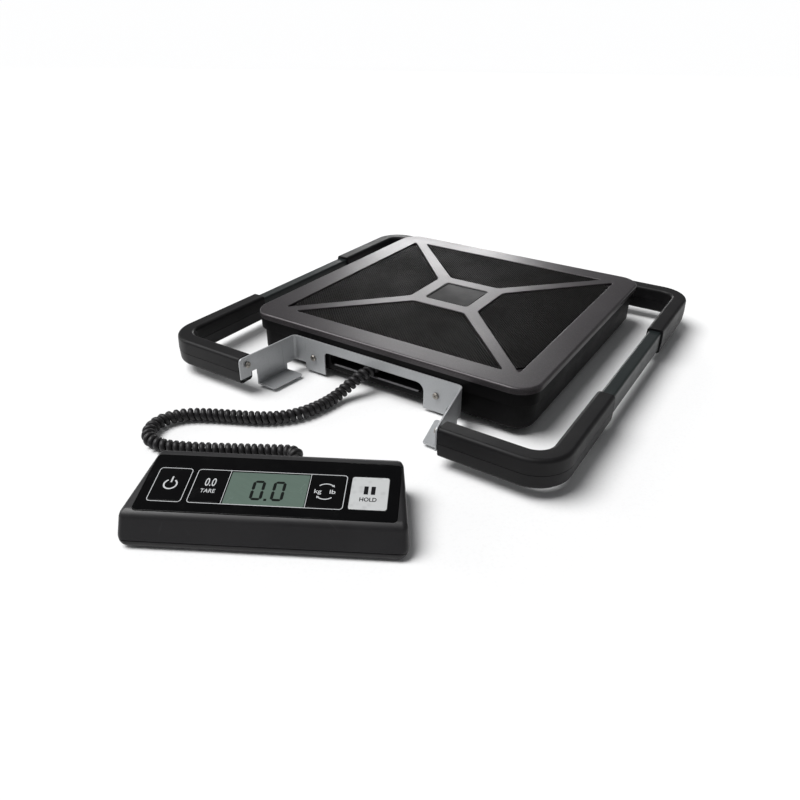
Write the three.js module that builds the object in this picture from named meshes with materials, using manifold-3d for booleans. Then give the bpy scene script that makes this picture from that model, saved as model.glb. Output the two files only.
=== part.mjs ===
// Platform shipping scale: weighing platform, two carrying handles, and a remote display on a curly cord.
// Millimetres, +Z up. The table is z = 0, the front of the scale faces -Y.
import * as THREE from 'three';
import Module from 'manifold-3d';
import { mergeVertices } from 'three/addons/utils/BufferGeometryUtils.js';

const wasm = await Module();
wasm.setup();

// ---- driving dimensions ----
const PLATFORM = 305;            // side of the square weighing platform
const TOP = 49;                  // height of the weighing surface
const COVER_RADIUS = 22;         // plan radius of the platform's corners
const COVER_SKIN = 4;            // thickness of the cover's top wall
const LIP = 6;                   // height of the cover's turned-down rim
const LIP_WALL = 1.2;
const PAN_BOTTOM = 7;            // underside of the base pan
const PAN_STEP = 31;             // height where the pan's upper band starts
const PAN_TOP = 43.4;
const PAN_HALF = 148.5;          // half width of the pan's lower band
const BAND_HALF = 151;           // half width of the pan's upper band, under the rim
const WALL = 2.5;
const GAP = 0.3;                 // clearance between neighbouring pieces
const PLATFORM_Y = 117.2;        // the platform's centre, behind the middle of the whole outfit

const MAT_EDGE = 128;            // tread mats: outer edge from the platform's centre
const MAT_INNER = 40;            // inner edge from the centre
const MAT_INNER_HALF = 29;       // half length of the inner edge
const MAT_FRONT_HALF = 113.5;    // half length of the outer edge, front and rear mats
const MAT_SIDE_HALF = 125.5;     // the same, left and right mats
const MAT_CORNER = 3;
const MAT_DEPTH = 2.6;           // depth of the pockets that the mats lie in
const MAT_THICK = 1.7;
const BADGE = 49;                // side of the square centre badge
const BADGE_DEPTH = 1.8;

const SHEET = 1.5;               // steel sheet of the brackets
const BRACKET_TOP = 36.5;
const BRACKET_BOTTOM = 2.5;
const BRACKET_Y = BAND_HALF + GAP;      // back face of a bracket's plate
const BEND = 5;
const FRONT_REACH = 222;         // how far the arms reach from the platform's centre
const REAR_REACH = 183;
const WINDOW = { x0: -60, x1: 51, top: 27, radius: 8 };
const TAB = { reach: 20, y0: -202, y1: -165 };
const RELIEF_CUTS = [[-112, -84], [75, 112]];
const RELIEF_TOP = 10;           // top of the cut-outs under the bends
const ARM_LOW = 15.5;            // underside of an arm ahead of its tab
const NOTCH = { y0: -209.5, y1: -202, top: 19.5 };
const FRONT_BACK_X = [-97.5, 89.5];     // where the front bracket's arms leave its plate
const REAR_BACK_X = [-97.5, 97.5];
const ARM_END_X = 104.25;        // outer face of every arm at its handle
const HANDLE_FRONT = -213.5;     // centre line of the handles' front arms
const HANDLE_REAR = 174.5;
const HANDLE_SIDE = 195.5;
const HANDLE_END_X = ARM_END_X + GAP;
const HANDLE_BEND = 23.5;        // centre line radius of the handles' corners
const TUBE = { width: 12.5, low: 12.5, high: 33.5, wall: 1.5 };
const GRIP = { width: 17, low: 10, high: 36.5, seam: 23 };
const GRIP_FRONT_END = -95;      // where the front grips stop along the side
const GRIP_REAR_START = 58;
const ARM_SCREW_Z = 28.5;
const PLUG = 8;                  // length of the plugs in the handle tubes' ends

const POCKET = { x0: -56, x1: 47, z0: 14, z1: 30, depth: 22 };   // cord pocket behind the bracket's window
const CORD_EXIT = { x: -8, y: -121, z: 20.4 };  // root of the strain relief on the pocket's back wall
const RELIEF_RADIUS = 4.2;
const CORD_OUTER = 12;           // outside diameter of the curly cord
const FOOT_AT = 118;
const PRESS = 0.5;               // how far the platform sinks at full load
const CELL = { arm: 92, length: 62, width: 12.7, low: 20, high: 33 };
const SPIDER = { reach: 150, half: 19, hub: 52, window: 24, thick: 3 };
const PLATE_SCREWS = [[-73.5, 17.5], [64, 19]];
const REAR_SCREWS = [[-70, 18], [70, 18]];
const HANDLE_SCREW_HEAD = 3.2;

const DISPLAY_AT = [36.4, -334.8];      // middle of the display, from the platform's centre
const DISPLAY_TURN = 29 * Math.PI / 180;
const DISPLAY = { front: 199, back: 183, depth: 78.5, high: 32, foot: 1.2, seam: 6 };
const DISPLAY_REAR = 35.5;       // the case's back face, from the display's middle
const CASE_SLANT = 10.5;         // how far the front face leans out towards the table
const PANEL = { left: -89, right: 90, low: -30.2, high: 24.4, thick: 1.8 };
const PANEL_SLOPE = Math.atan2(8, 63);
const PANEL_MIDDLE = 28;         // height of the sloping top over the display's middle
const KEY_LOW = -20.6;
const KEY_HIGH = 10.2;
const KEYS = {
  power_key: [-81.4, -59.2], tare_key: [-53.5, -31.6], units_key: [27.6, 51.7], hold_key: [56.1, 82.4],
};
const LCD = [-30, 26];
const KEY_THICK = 5.2;           // from the panel's face down to the key switches
const BATTERY = { radius: 5.2, length: 44, pitch: 11, z: 9.6 };
const DOOR_TRAVEL = 5;           // how far the battery door slides towards the front
const CASE_WALL = 2;
const RELIEF_X = 4;              // where the cord's strain relief enters the display's back
const RELIEF_Z = 13;
const PAD = { x: 70, y: 24, radius: 6 };

// ---- materials ----
function finish(color, roughness, metalness = 0) {
  return new THREE.MeshStandardMaterial({ color, roughness, metalness });
}
const COVER = finish('#4d484b', 0.42, 0.5);
const BLACK = finish('#17171a', 0.55);
const RUBBER = finish('#0d0d0f', 0.9);
const GLOSS = finish('#050506', 0.08);
const STEEL = finish('#9a9c9f', 0.45, 0.7);
const TUBE_PAINT = finish('#20282a', 0.5, 0.3);
const BRIGHT = finish('#c9c9c9', 0.3, 0.9);
const SILVER_KEY = finish('#c4c4c2', 0.4, 0.3);
const GLASS_GREEN = finish('#7a9a88', 0.2);
const BOARD = finish('#1f5a3a', 0.6);
const BATTERY_SKIN = finish('#8d8f3a', 0.4, 0.3);

// ---- solids and meshes ----
function toSolid(geometry) {
  const bare = geometry.clone();
  for (const name of Object.keys(bare.attributes)) if (name !== 'position') bare.deleteAttribute(name);
  const merged = mergeVertices(bare, 1e-4);
  const vertProperties = new Float32Array(merged.attributes.position.array);
  const triVerts = new Uint32Array(merged.index.array);
  return new wasm.Manifold(new wasm.Mesh({ numProp: 3, vertProperties, triVerts }));
}

function toGeometry(solid) {
  const mesh = solid.getMesh();
  const geometry = new THREE.BufferGeometry();
  geometry.setAttribute('position', new THREE.BufferAttribute(new Float32Array(mesh.vertProperties), 3));
  geometry.setIndex(new THREE.BufferAttribute(new Uint32Array(mesh.triVerts), 1));
  geometry.computeVertexNormals();
  return geometry;
}

function combined(bodies, operation) {
  const [first, ...rest] = bodies.map(toSolid);
  return toGeometry(rest.reduce((left, right) => left[operation](right), first));
}
const cut = (...bodies) => combined(bodies, 'subtract');
const join = (...bodies) => combined(bodies, 'add');
const common = (...bodies) => combined(bodies, 'intersect');

function piece(name, geometry, material, parent, position = [0, 0, 0]) {
  const mesh = new THREE.Mesh(geometry, material);
  mesh.name = name;
  mesh.position.set(...position);
  parent.add(mesh);
  return mesh;
}

// ---- outlines ----
// A closed outline through the points, each corner rounded to its own radius.
function rounded(points, radii) {
  const shape = new THREE.Shape();
  points.forEach(([x, y], i) => {
    const radius = Array.isArray(radii) ? radii[i] : radii;
    const here = new THREE.Vector2(x, y);
    const towards = (step) => new THREE.Vector2(...points[(i + step) % points.length]).sub(here).normalize();
    const before = towards(points.length - 1);
    const after = towards(1);
    const half = Math.acos(THREE.MathUtils.clamp(before.dot(after), -1, 1)) / 2;
    const start = here.clone().addScaledVector(before, radius / Math.tan(half));
    if (i === 0) shape.moveTo(start.x, start.y);
    else shape.lineTo(start.x, start.y);
    if (radius > 0) {
      const middle = before.clone().add(after).normalize();
      const centre = here.clone().addScaledVector(middle, radius / Math.sin(half));
      const end = here.clone().addScaledVector(after, radius / Math.tan(half));
      const a0 = Math.atan2(start.y - centre.y, start.x - centre.x);
      const a1 = Math.atan2(end.y - centre.y, end.x - centre.x);
      const turn = Math.atan2(Math.sin(a1 - a0), Math.cos(a1 - a0));
      shape.absarc(centre.x, centre.y, radius, a0, a0 + turn, turn < 0);
    }
  });
  shape.closePath();
  return shape;
}

function rectangle(x0, y0, x1, y1, radius = 0) {
  return rounded([[x0, y0], [x1, y0], [x1, y1], [x0, y1]], radius);
}

const square = (half, radius) => rectangle(-half, -half, half, half, radius);

function extruded(shape, depth, curveSegments) {
  return new THREE.ExtrudeGeometry(shape, { depth, bevelEnabled: false, curveSegments });
}

// An outline in plan, from height z0 to z1.
function prism(shape, z0, z1, steps = 5) {
  return extruded(shape, z1 - z0, steps).translate(0, 0, z0);
}

// The same with its edges at both ends bevelled inwards.
function softPrism(shape, z0, z1, bevel, steps = 5) {
  const geometry = new THREE.ExtrudeGeometry(shape, {
    depth: z1 - z0 - 2 * bevel, bevelEnabled: true, bevelThickness: bevel, bevelSize: bevel,
    bevelOffset: -bevel, bevelSegments: 2, curveSegments: steps,
  });
  return geometry.translate(0, 0, z0 + bevel);
}

function box(x0, x1, y0, y1, z0, z1) {
  const geometry = new THREE.BoxGeometry(x1 - x0, y1 - y0, z1 - z0);
  return geometry.translate((x0 + x1) / 2, (y0 + y1) / 2, (z0 + z1) / 2);
}

function cylinder(radius, z0, z1, sides = 16) {
  const geometry = new THREE.CylinderGeometry(radius, radius, z1 - z0, sides);
  return geometry.rotateX(Math.PI / 2).translate(0, 0, (z0 + z1) / 2);
}

// An outline seen from the front, from depth y0 to y1.
function frontPrism(shape, y0, y1, steps = 5) {
  return extruded(shape, y1 - y0, steps).rotateX(Math.PI / 2).translate(0, y1, 0);
}

// An outline seen from the side (its x is depth, its y is height), from x0 to x1.
function sidePrism(shape, x0, x1, steps = 5) {
  return extruded(shape, x1 - x0, steps).rotateX(Math.PI / 2).rotateZ(Math.PI / 2).translate(x0, 0, 0);
}

// A profile of [radius, height] points turned about the Y axis.
function turned(profile, sides) {
  return new THREE.LatheGeometry(profile.map(([x, y]) => new THREE.Vector2(x, y)), sides);
}

// A pan-head screw along +Z, its head's underside at z = 0 and its shank below.
function screw(headRadius, headHeight, shankRadius, length) {
  const profile = [
    [0, -length], [shankRadius, -length], [shankRadius, 0], [headRadius, 0],
    [headRadius, headHeight * 0.4], [headRadius * 0.7, headHeight], [0, headHeight],
  ];
  return turned(profile, 14).rotateX(Math.PI / 2);
}

const scale = new THREE.Group();
scale.position.y = PLATFORM_Y;

// ---- weighing platform ----
function matOutline(half, grow = 0) {
  const outer = MAT_EDGE + grow;
  const inner = MAT_INNER - grow;
  const corners = [[-MAT_INNER_HALF - grow / 2, -inner], [-half - 2 * grow, -outer],
    [half + 2 * grow, -outer], [MAT_INNER_HALF + grow / 2, -inner]];
  return rounded(corners, MAT_CORNER + grow);
}

const MATS = {
  front: [MAT_FRONT_HALF, 0], right: [MAT_SIDE_HALF, 1], rear: [MAT_FRONT_HALF, 2], left: [MAT_SIDE_HALF, 3],
};
const matAt = (shape, turns, z0, z1) => prism(shape, z0, z1, 3).rotateZ(turns * Math.PI / 2);

function platformCover() {
  const half = PLATFORM / 2;
  const low = TOP - LIP;
  const blank = softPrism(square(half, COVER_RADIUS), low - 4, TOP, 1.6, 5);
  const under = box(-half - 1, half + 1, -half - 1, half + 1, low - 5, low);
  const hollow = prism(square(half - LIP_WALL, COVER_RADIUS - LIP_WALL), low - 1, TOP - COVER_SKIN, 5);
  const pockets = Object.values(MATS).map(([length, turns]) => (
    matAt(matOutline(length, GAP), turns, TOP - MAT_DEPTH, TOP + 1)));
  const badgePocket = prism(square(BADGE / 2 + GAP, 2.3), TOP - BADGE_DEPTH, TOP + 1, 3);
  return cut(blank, under, hollow, ...pockets, badgePocket);
}
piece('platform_cover', platformCover(), COVER, scale);

for (const [side, [length, turns]] of Object.entries(MATS)) {
  const low = TOP - MAT_DEPTH + GAP;
  piece(`tread_mat_${side}`, matAt(matOutline(length), turns, low, low + MAT_THICK), RUBBER, scale);
}
piece('centre_badge', prism(square(BADGE / 2, 2), TOP - BADGE_DEPTH + GAP, TOP - 0.2, 3), BLACK, scale);

// A four-armed plate that carries the cover on the load cells.
function loadSpider() {
  const top = TOP - COVER_SKIN - GAP;
  const low = top - SPIDER.thick;
  const arm = rectangle(-SPIDER.reach, -SPIDER.half, SPIDER.reach, SPIDER.half, 6);
  const arms = [1, -1].map((s) => prism(arm, low, top, 3).rotateZ(s * Math.PI / 4));
  const hub = prism(square(SPIDER.hub, 8), low, top, 3);
  const windowCut = cylinder(SPIDER.window, low - 2, top + 2, 20);
  return cut(join(hub, ...arms), windowCut);
}
piece('load_spider', loadSpider(), STEEL, scale);

// ---- load cells: a bar on a pad at the pan end, a pad for the spider at the free end ----
function loadCell() {
  const { length, width, low, high } = CELL;
  const spiderLow = TOP - COVER_SKIN - GAP - SPIDER.thick;
  const half = length / 2;
  const outline = new THREE.Shape([
    [-half, PAN_BOTTOM + WALL + GAP], [-half + 18, PAN_BOTTOM + WALL + GAP], [-half + 18, low], [half, low],
    [half, spiderLow - PRESS - 0.1], [half - 18, spiderLow - PRESS - 0.1], [half - 18, high], [-half, high],
  ].map(([x, y]) => new THREE.Vector2(x, y)));
  const middle = (low + high) / 2;
  const slot = new THREE.Path();
  slot.moveTo(-6, middle - 4);
  slot.lineTo(6, middle - 4);
  slot.absarc(6, middle, 4, -Math.PI / 2, Math.PI / 2, false);
  slot.lineTo(-6, middle + 4);
  slot.absarc(-6, middle, 4, Math.PI / 2, 3 * Math.PI / 2, false);
  outline.holes.push(slot);
  return sidePrism(outline, -width / 2, width / 2, 6);
}
const CORNERS = { front_left: [-1, -1], front_right: [1, -1], rear_left: [-1, 1], rear_right: [1, 1] };
for (const [corner, [sx, sy]] of Object.entries(CORNERS)) {
  const cell = piece(`load_cell_${corner}`, loadCell(), BRIGHT, scale);
  cell.position.set(sx * CELL.arm, sy * CELL.arm, 0);
  cell.rotation.z = Math.atan2(sx, -sy);
  const footTop = PAN_BOTTOM - GAP;
  const footProfile = [[0, 0], [13, 0], [14, 1.5], [11.5, footTop], [0, footTop]];
  const foot = turned(footProfile, 20).rotateX(Math.PI / 2);
  piece(`foot_${corner}`, foot, RUBBER, scale, [sx * FOOT_AT, sy * FOOT_AT, 0]);
}

// ---- base pan ----
function basePan() {
  const lower = softPrism(square(PAN_HALF, 19), PAN_BOTTOM, PAN_STEP + 8, 3, 5);
  const trim = box(-160, 160, -160, 160, PAN_STEP + 0.5, PAN_STEP + 20);
  const band = prism(square(BAND_HALF, 21), PAN_STEP, PAN_TOP, 5);
  const shell = join(cut(lower, trim), band);
  const hollow = prism(square(PAN_HALF - WALL, 16.5), PAN_BOTTOM + WALL, PAN_TOP + 1, 5);
  const slot = box(POCKET.x0, POCKET.x1, -155, -140, POCKET.z0, POCKET.z1);
  const holesAt = (screws, side) => screws.map(([x, z]) => (
    cylinder(1.9, -8, 8, 10).rotateX(Math.PI / 2).translate(x, side * PAN_HALF, z)));
  const plateHoles = [...holesAt(PLATE_SCREWS, -1), ...holesAt(REAR_SCREWS, 1)];
  return cut(shell, hollow, slot, ...plateHoles);
}
piece('base_pan', basePan(), BLACK, scale);

function cordPocket() {
  const front = -PAN_HALF + WALL + GAP;
  const back = front + POCKET.depth;
  const outer = box(POCKET.x0 - 2, POCKET.x1 + 2, front, back, POCKET.z0 - 2, POCKET.z1 + 2);
  const inner = box(POCKET.x0, POCKET.x1, front - 1, back - 2, POCKET.z0, POCKET.z1);
  const reliefHole = cylinder(RELIEF_RADIUS + GAP, -6, 6, 16).rotateX(Math.PI / 2)
    .translate(CORD_EXIT.x, back, CORD_EXIT.z);
  return cut(outer, inner, reliefHole);
}
piece('cord_pocket', cordPocket(), BLACK, scale);

piece('junction_board', box(-32, 32, 40, 84, 14, 15.6), BOARD, scale);

// ---- sheet brackets ----
// Seen from above: a plate across the pan with an arm to each side, bent outwards a little.
function bracketBlank(backX, reach) {
  const [left, right] = backX;
  const outer = [[-ARM_END_X, -reach], [left, -BRACKET_Y], [right, -BRACKET_Y], [ARM_END_X, -reach]];
  const inner = [[ARM_END_X - SHEET, -reach], [right - SHEET, -BRACKET_Y - SHEET],
    [left + SHEET, -BRACKET_Y - SHEET], [-ARM_END_X + SHEET, -reach]];
  const radii = [0, BEND, BEND, 0, 0, BEND - SHEET, BEND - SHEET, 0];
  return prism(rounded([...outer, ...inner], radii), BRACKET_BOTTOM, BRACKET_TOP, 5);
}

// How far an arm leans outwards for each millimetre of its reach, and the x of its inner face at depth y.
const lean = (backX, reach, side) => (ARM_END_X - side * backX[side > 0 ? 1 : 0]) / (reach - BRACKET_Y);
function armInner(backX, reach, side, y) {
  return side * (ARM_END_X - SHEET - (reach - Math.abs(y)) * lean(backX, reach, side));
}

const screwHole = (x, z) => cylinder(2, -6, 6, 12).rotateX(Math.PI / 2).translate(x, -BRACKET_Y, z);
function armHole(side, y) {
  return cylinder(2.1, -6, 6, 12).rotateY(Math.PI / 2).translate(side * (ARM_END_X - 1), y, ARM_SCREW_Z);
}

function frontBracket() {
  const blank = bracketBlank(FRONT_BACK_X, FRONT_REACH);
  const { x0, x1, top, radius } = WINDOW;
  const opening = rounded([[x0, -5], [x1, -5], [x1, top], [x0, top]], [0, 0, radius, radius / 2]);
  const windowCut = frontPrism(opening, -BRACKET_Y - 4, -BRACKET_Y + 4, 4);
  const reliefs = RELIEF_CUTS.map(([from, to]) => box(from, to, TAB.y1, -140, 0, RELIEF_TOP));
  const acrossArm = (s) => [Math.min(s * 90, s * 112), Math.max(s * 90, s * 112)];
  const armLows = [-1, 1].map((s) => box(...acrossArm(s), -230, NOTCH.y0 + 0.01, 0, ARM_LOW));
  const notches = [-1, 1].map((s) => box(...acrossArm(s), NOTCH.y0, NOTCH.y1, 0, NOTCH.top));
  const body = cut(blank, windowCut, ...reliefs, ...armLows, ...notches,
    ...PLATE_SCREWS.map(([x, z]) => screwHole(x, z)), armHole(-1, HANDLE_FRONT), armHole(1, HANDLE_FRONT));
  const tabs = [-1, 1].map((s) => {
    const at = (y) => armInner(FRONT_BACK_X, FRONT_REACH, s, y) + s * SHEET / 2;
    const corners = [[at(TAB.y0), TAB.y0], [at(TAB.y1), TAB.y1],
      [at(TAB.y1) - s * TAB.reach, TAB.y1], [at(TAB.y0) - s * TAB.reach, TAB.y0]];
    return prism(rounded(corners, [0, 0, 1.5, 1.5]), BRACKET_BOTTOM, BRACKET_BOTTOM + SHEET, 3);
  });
  return join(body, ...tabs);
}
piece('front_bracket', frontBracket(), STEEL, scale);

function rearBracket() {
  const lower = box(-120, 120, -190, -140, 0, 10);
  return cut(bracketBlank(REAR_BACK_X, REAR_REACH), lower, ...REAR_SCREWS.map(([x, z]) => screwHole(-x, z)),
    armHole(-1, -HANDLE_REAR), armHole(1, -HANDLE_REAR)).rotateZ(Math.PI);
}
piece('rear_bracket', rearBracket(), STEEL, scale);

PLATE_SCREWS.forEach(([x, z], i) => {
  piece(`front_bracket_screw_${i + 1}`, screw(3, 1.8, 1.6, 8).rotateX(Math.PI / 2), BRIGHT, scale,
    [x, -BRACKET_Y - SHEET - GAP, z]);
});
REAR_SCREWS.forEach(([x, z], i) => {
  piece(`rear_bracket_screw_${i + 1}`, screw(3, 1.8, 1.6, 8).rotateX(-Math.PI / 2), BRIGHT, scale,
    [x, BRACKET_Y + SHEET + GAP, z]);
});

// ---- carrying handles ----
// A strip in plan along the right-hand handle, from the front arm (or startY) to the rear arm (or endY).
function strip(width, { frontX, startY, rearX, endY }, steps = 6) {
  const half = width / 2;
  const outline = (side) => {
    const x = HANDLE_SIDE + side * half;
    const corner = HANDLE_BEND + side * half;
    const points = [];
    const radii = [];
    if (frontX !== undefined) {
      points.push([frontX, HANDLE_FRONT - side * half], [x, HANDLE_FRONT - side * half]);
      radii.push(0, corner);
    } else {
      points.push([x, startY]);
      radii.push(0);
    }
    if (rearX !== undefined) {
      points.push([x, HANDLE_REAR + side * half], [rearX, HANDLE_REAR + side * half]);
      radii.push(corner, 0);
    } else {
      points.push([x, endY]);
      radii.push(0);
    }
    return { points, radii };
  };
  const out = outline(1);
  const back = outline(-1);
  const points = [...out.points, ...back.points.reverse()];
  const radii = [...out.radii, ...back.radii.reverse()];
  return { shape: rounded(points, radii), steps };
}

const whole = { frontX: HANDLE_END_X, rearX: HANDLE_END_X };
const frontGrip = { frontX: HANDLE_END_X, endY: GRIP_FRONT_END };
const rearGrip = { startY: GRIP_REAR_START, rearX: HANDLE_END_X };

function along(width, route, z0, z1, bevel = 0) {
  const { shape, steps } = strip(width, route);
  return bevel ? softPrism(shape, z0, z1, bevel, steps) : prism(shape, z0, z1, steps);
}

// A hollow tube with a plug in each end that takes the handle screw.
function handleTube() {
  const between = { frontX: HANDLE_END_X + PLUG, rearX: HANDLE_END_X + PLUG };
  const bore = along(TUBE.width - 2 * TUBE.wall, between, TUBE.low + TUBE.wall, TUBE.high - TUBE.wall);
  const taps = [HANDLE_FRONT, HANDLE_REAR].map((y) => (
    cylinder(1.8, 0, PLUG + 2, 12).rotateY(Math.PI / 2).translate(HANDLE_END_X - 1, y, ARM_SCREW_Z)));
  return cut(along(TUBE.width, whole, TUBE.low, TUBE.high), bore, ...taps);
}

function gripShell(route, upper) {
  const blank = along(GRIP.width, route, GRIP.low, GRIP.high, 2.2);
  const wider = { ...route };
  if (route.frontX !== undefined) wider.frontX = route.frontX - 2;
  if (route.rearX !== undefined) wider.rearX = route.rearX - 2;
  if (route.endY !== undefined) wider.endY = route.endY + 2;
  if (route.startY !== undefined) wider.startY = route.startY - 2;
  const channel = along(TUBE.width + 2 * GAP, wider, TUBE.low - GAP, TUBE.high + GAP);
  const [awayLow, awayHigh] = upper ? [0, GRIP.seam + GAP / 2] : [GRIP.seam - GAP / 2, 60];
  const away = box(0, 260, -260, 260, awayLow, awayHigh);
  return cut(blank, channel, away);
}

// Turns a right-hand geometry into its mirror image on the left.
function mirrored(geometry) {
  const other = mergeVertices(geometry.clone().deleteAttribute('normal'), 1e-4).scale(-1, 1, 1);
  const order = other.index.array;
  for (let i = 0; i < order.length; i += 3) [order[i], order[i + 1]] = [order[i + 1], order[i]];
  other.computeVertexNormals();
  return other;
}

const HANDS = { right: (geometry) => geometry, left: mirrored };
for (const [hand, place] of Object.entries(HANDS)) {
  const side = hand === 'right' ? 1 : -1;
  piece(`handle_tube_${hand}`, place(handleTube()), TUBE_PAINT, scale);
  for (const [end, route] of Object.entries({ front: frontGrip, rear: rearGrip })) {
    piece(`${end}_grip_upper_${hand}`, place(gripShell(route, true)), BLACK, scale);
    piece(`${end}_grip_lower_${hand}`, place(gripShell(route, false)), BLACK, scale);
    const [y, backX, reach] = end === 'front'
      ? [HANDLE_FRONT, FRONT_BACK_X, FRONT_REACH] : [HANDLE_REAR, REAR_BACK_X, REAR_REACH];
    const clear = GAP + HANDLE_SCREW_HEAD * lean(backX, reach, side);
    const bolt = screw(HANDLE_SCREW_HEAD, 1.8, 1.5, 11).rotateY(-side * Math.PI / 2);
    piece(`handle_screw_${end}_${hand}`, bolt, BRIGHT, scale,
      [armInner(backX, reach, side, y) - side * clear, y, ARM_SCREW_Z]);
  }
}

// ---- curly cord between the pocket and the display ----
const relief = () => turned([[0, 0], [RELIEF_RADIUS, 0], [RELIEF_RADIUS, 6], [3.2, 14], [0, 14]], 16);
piece('base_cord_relief', relief().rotateX(Math.PI), BLACK, scale, [CORD_EXIT.x, CORD_EXIT.y, CORD_EXIT.z]);

const CORD_ROUTE = [
  [-8, -135.3, 20.4], [-8.6, -143, 20.4], [-10.5, -152, 20.3], [-14.5, -162, 17], [-18.5, -173, 11.5],
  [-21.5, -185, 7.2], [-23, -198, 6.2], [-26, -213, 6.2], [-32, -228, 6.2], [-43, -241.5, 6.2],
  [-59, -252.5, 6.2], [-79, -262.5, 6.2], [-98, -272.5, 6.2], [-113, -283, 6.2], [-121.5, -297, 6.2],
  [-120.5, -312, 6.2], [-110, -323.5, 6.2], [-94, -325.5, 6.2], [-77, -319.5, 6.2], [-59, -310, 6.2],
  [-41, -299.5, 6.2], [-24, -289.5, 6.2], [-9, -281.5, 6.8], [4, -278.3, 9], [13, -282.3, 11.8],
  [18.05, -293.4, 13],
].map(([x, y, z]) => new THREE.Vector3(x, y, z));
function curlyCord() {
  const ring = new THREE.Shape();
  ring.absarc(0, 0, CORD_OUTER / 2, 0, 2 * Math.PI, false);
  const path = new THREE.CatmullRomCurve3(CORD_ROUTE, false, 'centripetal');
  const sweep = { steps: 64, extrudePath: path, curveSegments: 5, bevelEnabled: false };
  return new THREE.ExtrudeGeometry(ring, sweep);
}
piece('curly_cord', curlyCord(), RUBBER, scale);

// ---- remote display ----
const display = new THREE.Group();
display.position.set(...DISPLAY_AT, 0);
display.rotation.z = DISPLAY_TURN;
scale.add(display);

const DISPLAY_FRONT = DISPLAY_REAR - DISPLAY.depth;

// Height of the case's sloping top at a distance from the display's middle.
function topAt(y) {
  return PANEL_MIDDLE + y * Math.tan(PANEL_SLOPE);
}

// The case as a whole, shrunk by inset on every side: wider and leaning out towards its front.
function caseBody(inset, steps = 4) {
  const [front, rear, foot] = [DISPLAY_FRONT + inset, DISPLAY_REAR - inset, DISPLAY.foot + inset];
  const [topFront, topRear] = [DISPLAY_FRONT + CASE_SLANT, DISPLAY_REAR - 4];
  const [wide, narrow] = [DISPLAY.front / 2 - inset, DISPLAY.back / 2 - inset];
  const side = rounded([[front, foot], [rear, foot], [topRear - inset, topAt(topRear) - inset],
    [topFront + inset, topAt(topFront) - inset]], [4, 3, 4, 5]);
  const face = rounded([[-wide, foot], [wide, foot], [wide - 2, 40], [-wide + 2, 40]], [8, 8, 0, 0]);
  const plan = rounded([[-wide, front], [wide, front], [narrow, rear], [-narrow, rear]], [7, 7, 6, 6]);
  const fromSide = sidePrism(side, -wide, wide, steps);
  const fromFront = frontPrism(face, front, rear, steps);
  return common(fromSide, fromFront, prism(plan, 0, 45, steps));
}

// Boxes of the panel's own frame: x across, y up the slope, z out of the panel, 0 at the panel's face.
function panelBox(x0, x1, y0, y1, z0, z1, radius = 1.5) {
  const upright = prism(rectangle(x0, y0, x1, y1, radius), z0, z1, 3);
  return upright.rotateX(PANEL_SLOPE).translate(0, 0, PANEL_MIDDLE);
}

// The hole that the display's strain relief comes out of.
function reliefCut() {
  const drill = cylinder(RELIEF_RADIUS + GAP, -8, 8, 16).rotateX(Math.PI / 2);
  return drill.translate(RELIEF_X, DISPLAY_REAR, RELIEF_Z);
}

function topHousing() {
  const pocket = panelBox(PANEL.left - GAP, PANEL.right + GAP, PANEL.low - GAP, PANEL.high + GAP,
    -PANEL.thick - GAP, 10, 3);
  const opening = panelBox(-86, 86.5, KEY_LOW - 2, KEY_HIGH + 2, -12, 1);
  const away = box(-120, 120, -60, 60, -5, DISPLAY.seam + GAP / 2);
  return cut(caseBody(0), caseBody(CASE_WALL), pocket, opening, away, reliefCut());
}
piece('display_top_housing', topHousing(), BLACK, display);

function bottomHousing() {
  const away = box(-120, 120, -60, 60, DISPLAY.seam - GAP / 2, 60);
  const bay = box(-27, 27, -20 - DOOR_TRAVEL - GAP, 20, -1, 3.8);
  return cut(caseBody(0), caseBody(CASE_WALL), away, bay, reliefCut());
}
piece('display_bottom_housing', bottomHousing(), BLACK, display);

function displayPanel() {
  const sheet = panelBox(PANEL.left, PANEL.right, PANEL.low, PANEL.high, -PANEL.thick, 0.1, 2.7);
  const holes = [...Object.values(KEYS), LCD].map(([x0, x1]) => (
    panelBox(x0 - GAP, x1 + GAP, KEY_LOW - GAP, KEY_HIGH + GAP, -5, 3, 1.8)));
  return cut(sheet, ...holes);
}
piece('display_panel', displayPanel(), GLOSS, display);

for (const [name, [x0, x1]] of Object.entries(KEYS)) {
  const cap = panelBox(x0, x1, KEY_LOW, KEY_HIGH, -KEY_THICK, 0.3, 1.5);
  piece(name, cap, name === 'hold_key' ? SILVER_KEY : GLOSS, display);
}
piece('lcd_module', panelBox(LCD[0], LCD[1], KEY_LOW, KEY_HIGH, -5.4, -0.3, 0.8), GLASS_GREEN, display);
piece('display_board', panelBox(-84, 85, KEY_LOW - 1, KEY_HIGH + 1, -7.6, -6, 1.5), BOARD, display);

// Battery compartment: three cells side by side above a sliding door.
[-1, 0, 1].forEach((k, i) => {
  const cell = cylinder(BATTERY.radius, -BATTERY.length / 2, BATTERY.length / 2, 16).rotateY(Math.PI / 2);
  piece(`battery_${i + 1}`, cell, BATTERY_SKIN, display, [0, k * BATTERY.pitch, BATTERY.z]);
});
piece('battery_contacts', box(23, 23.8, -16.5, 16.5, 5.4, 14), BRIGHT, display);
piece('battery_door', box(-26.6, 26.6, -19.6, 19.6, 1.4, 2.9), BLACK, display);

for (const [corner, [sx, sy]] of Object.entries(CORNERS)) {
  const pad = cylinder(PAD.radius, 0, DISPLAY.foot - GAP, 16);
  piece(`display_pad_${corner}`, pad, RUBBER, display, [sx * PAD.x, sy * PAD.y, 0]);
}
piece('display_cord_relief', relief(), BLACK, display, [RELIEF_X, DISPLAY_REAR - 5, RELIEF_Z]);

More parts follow.
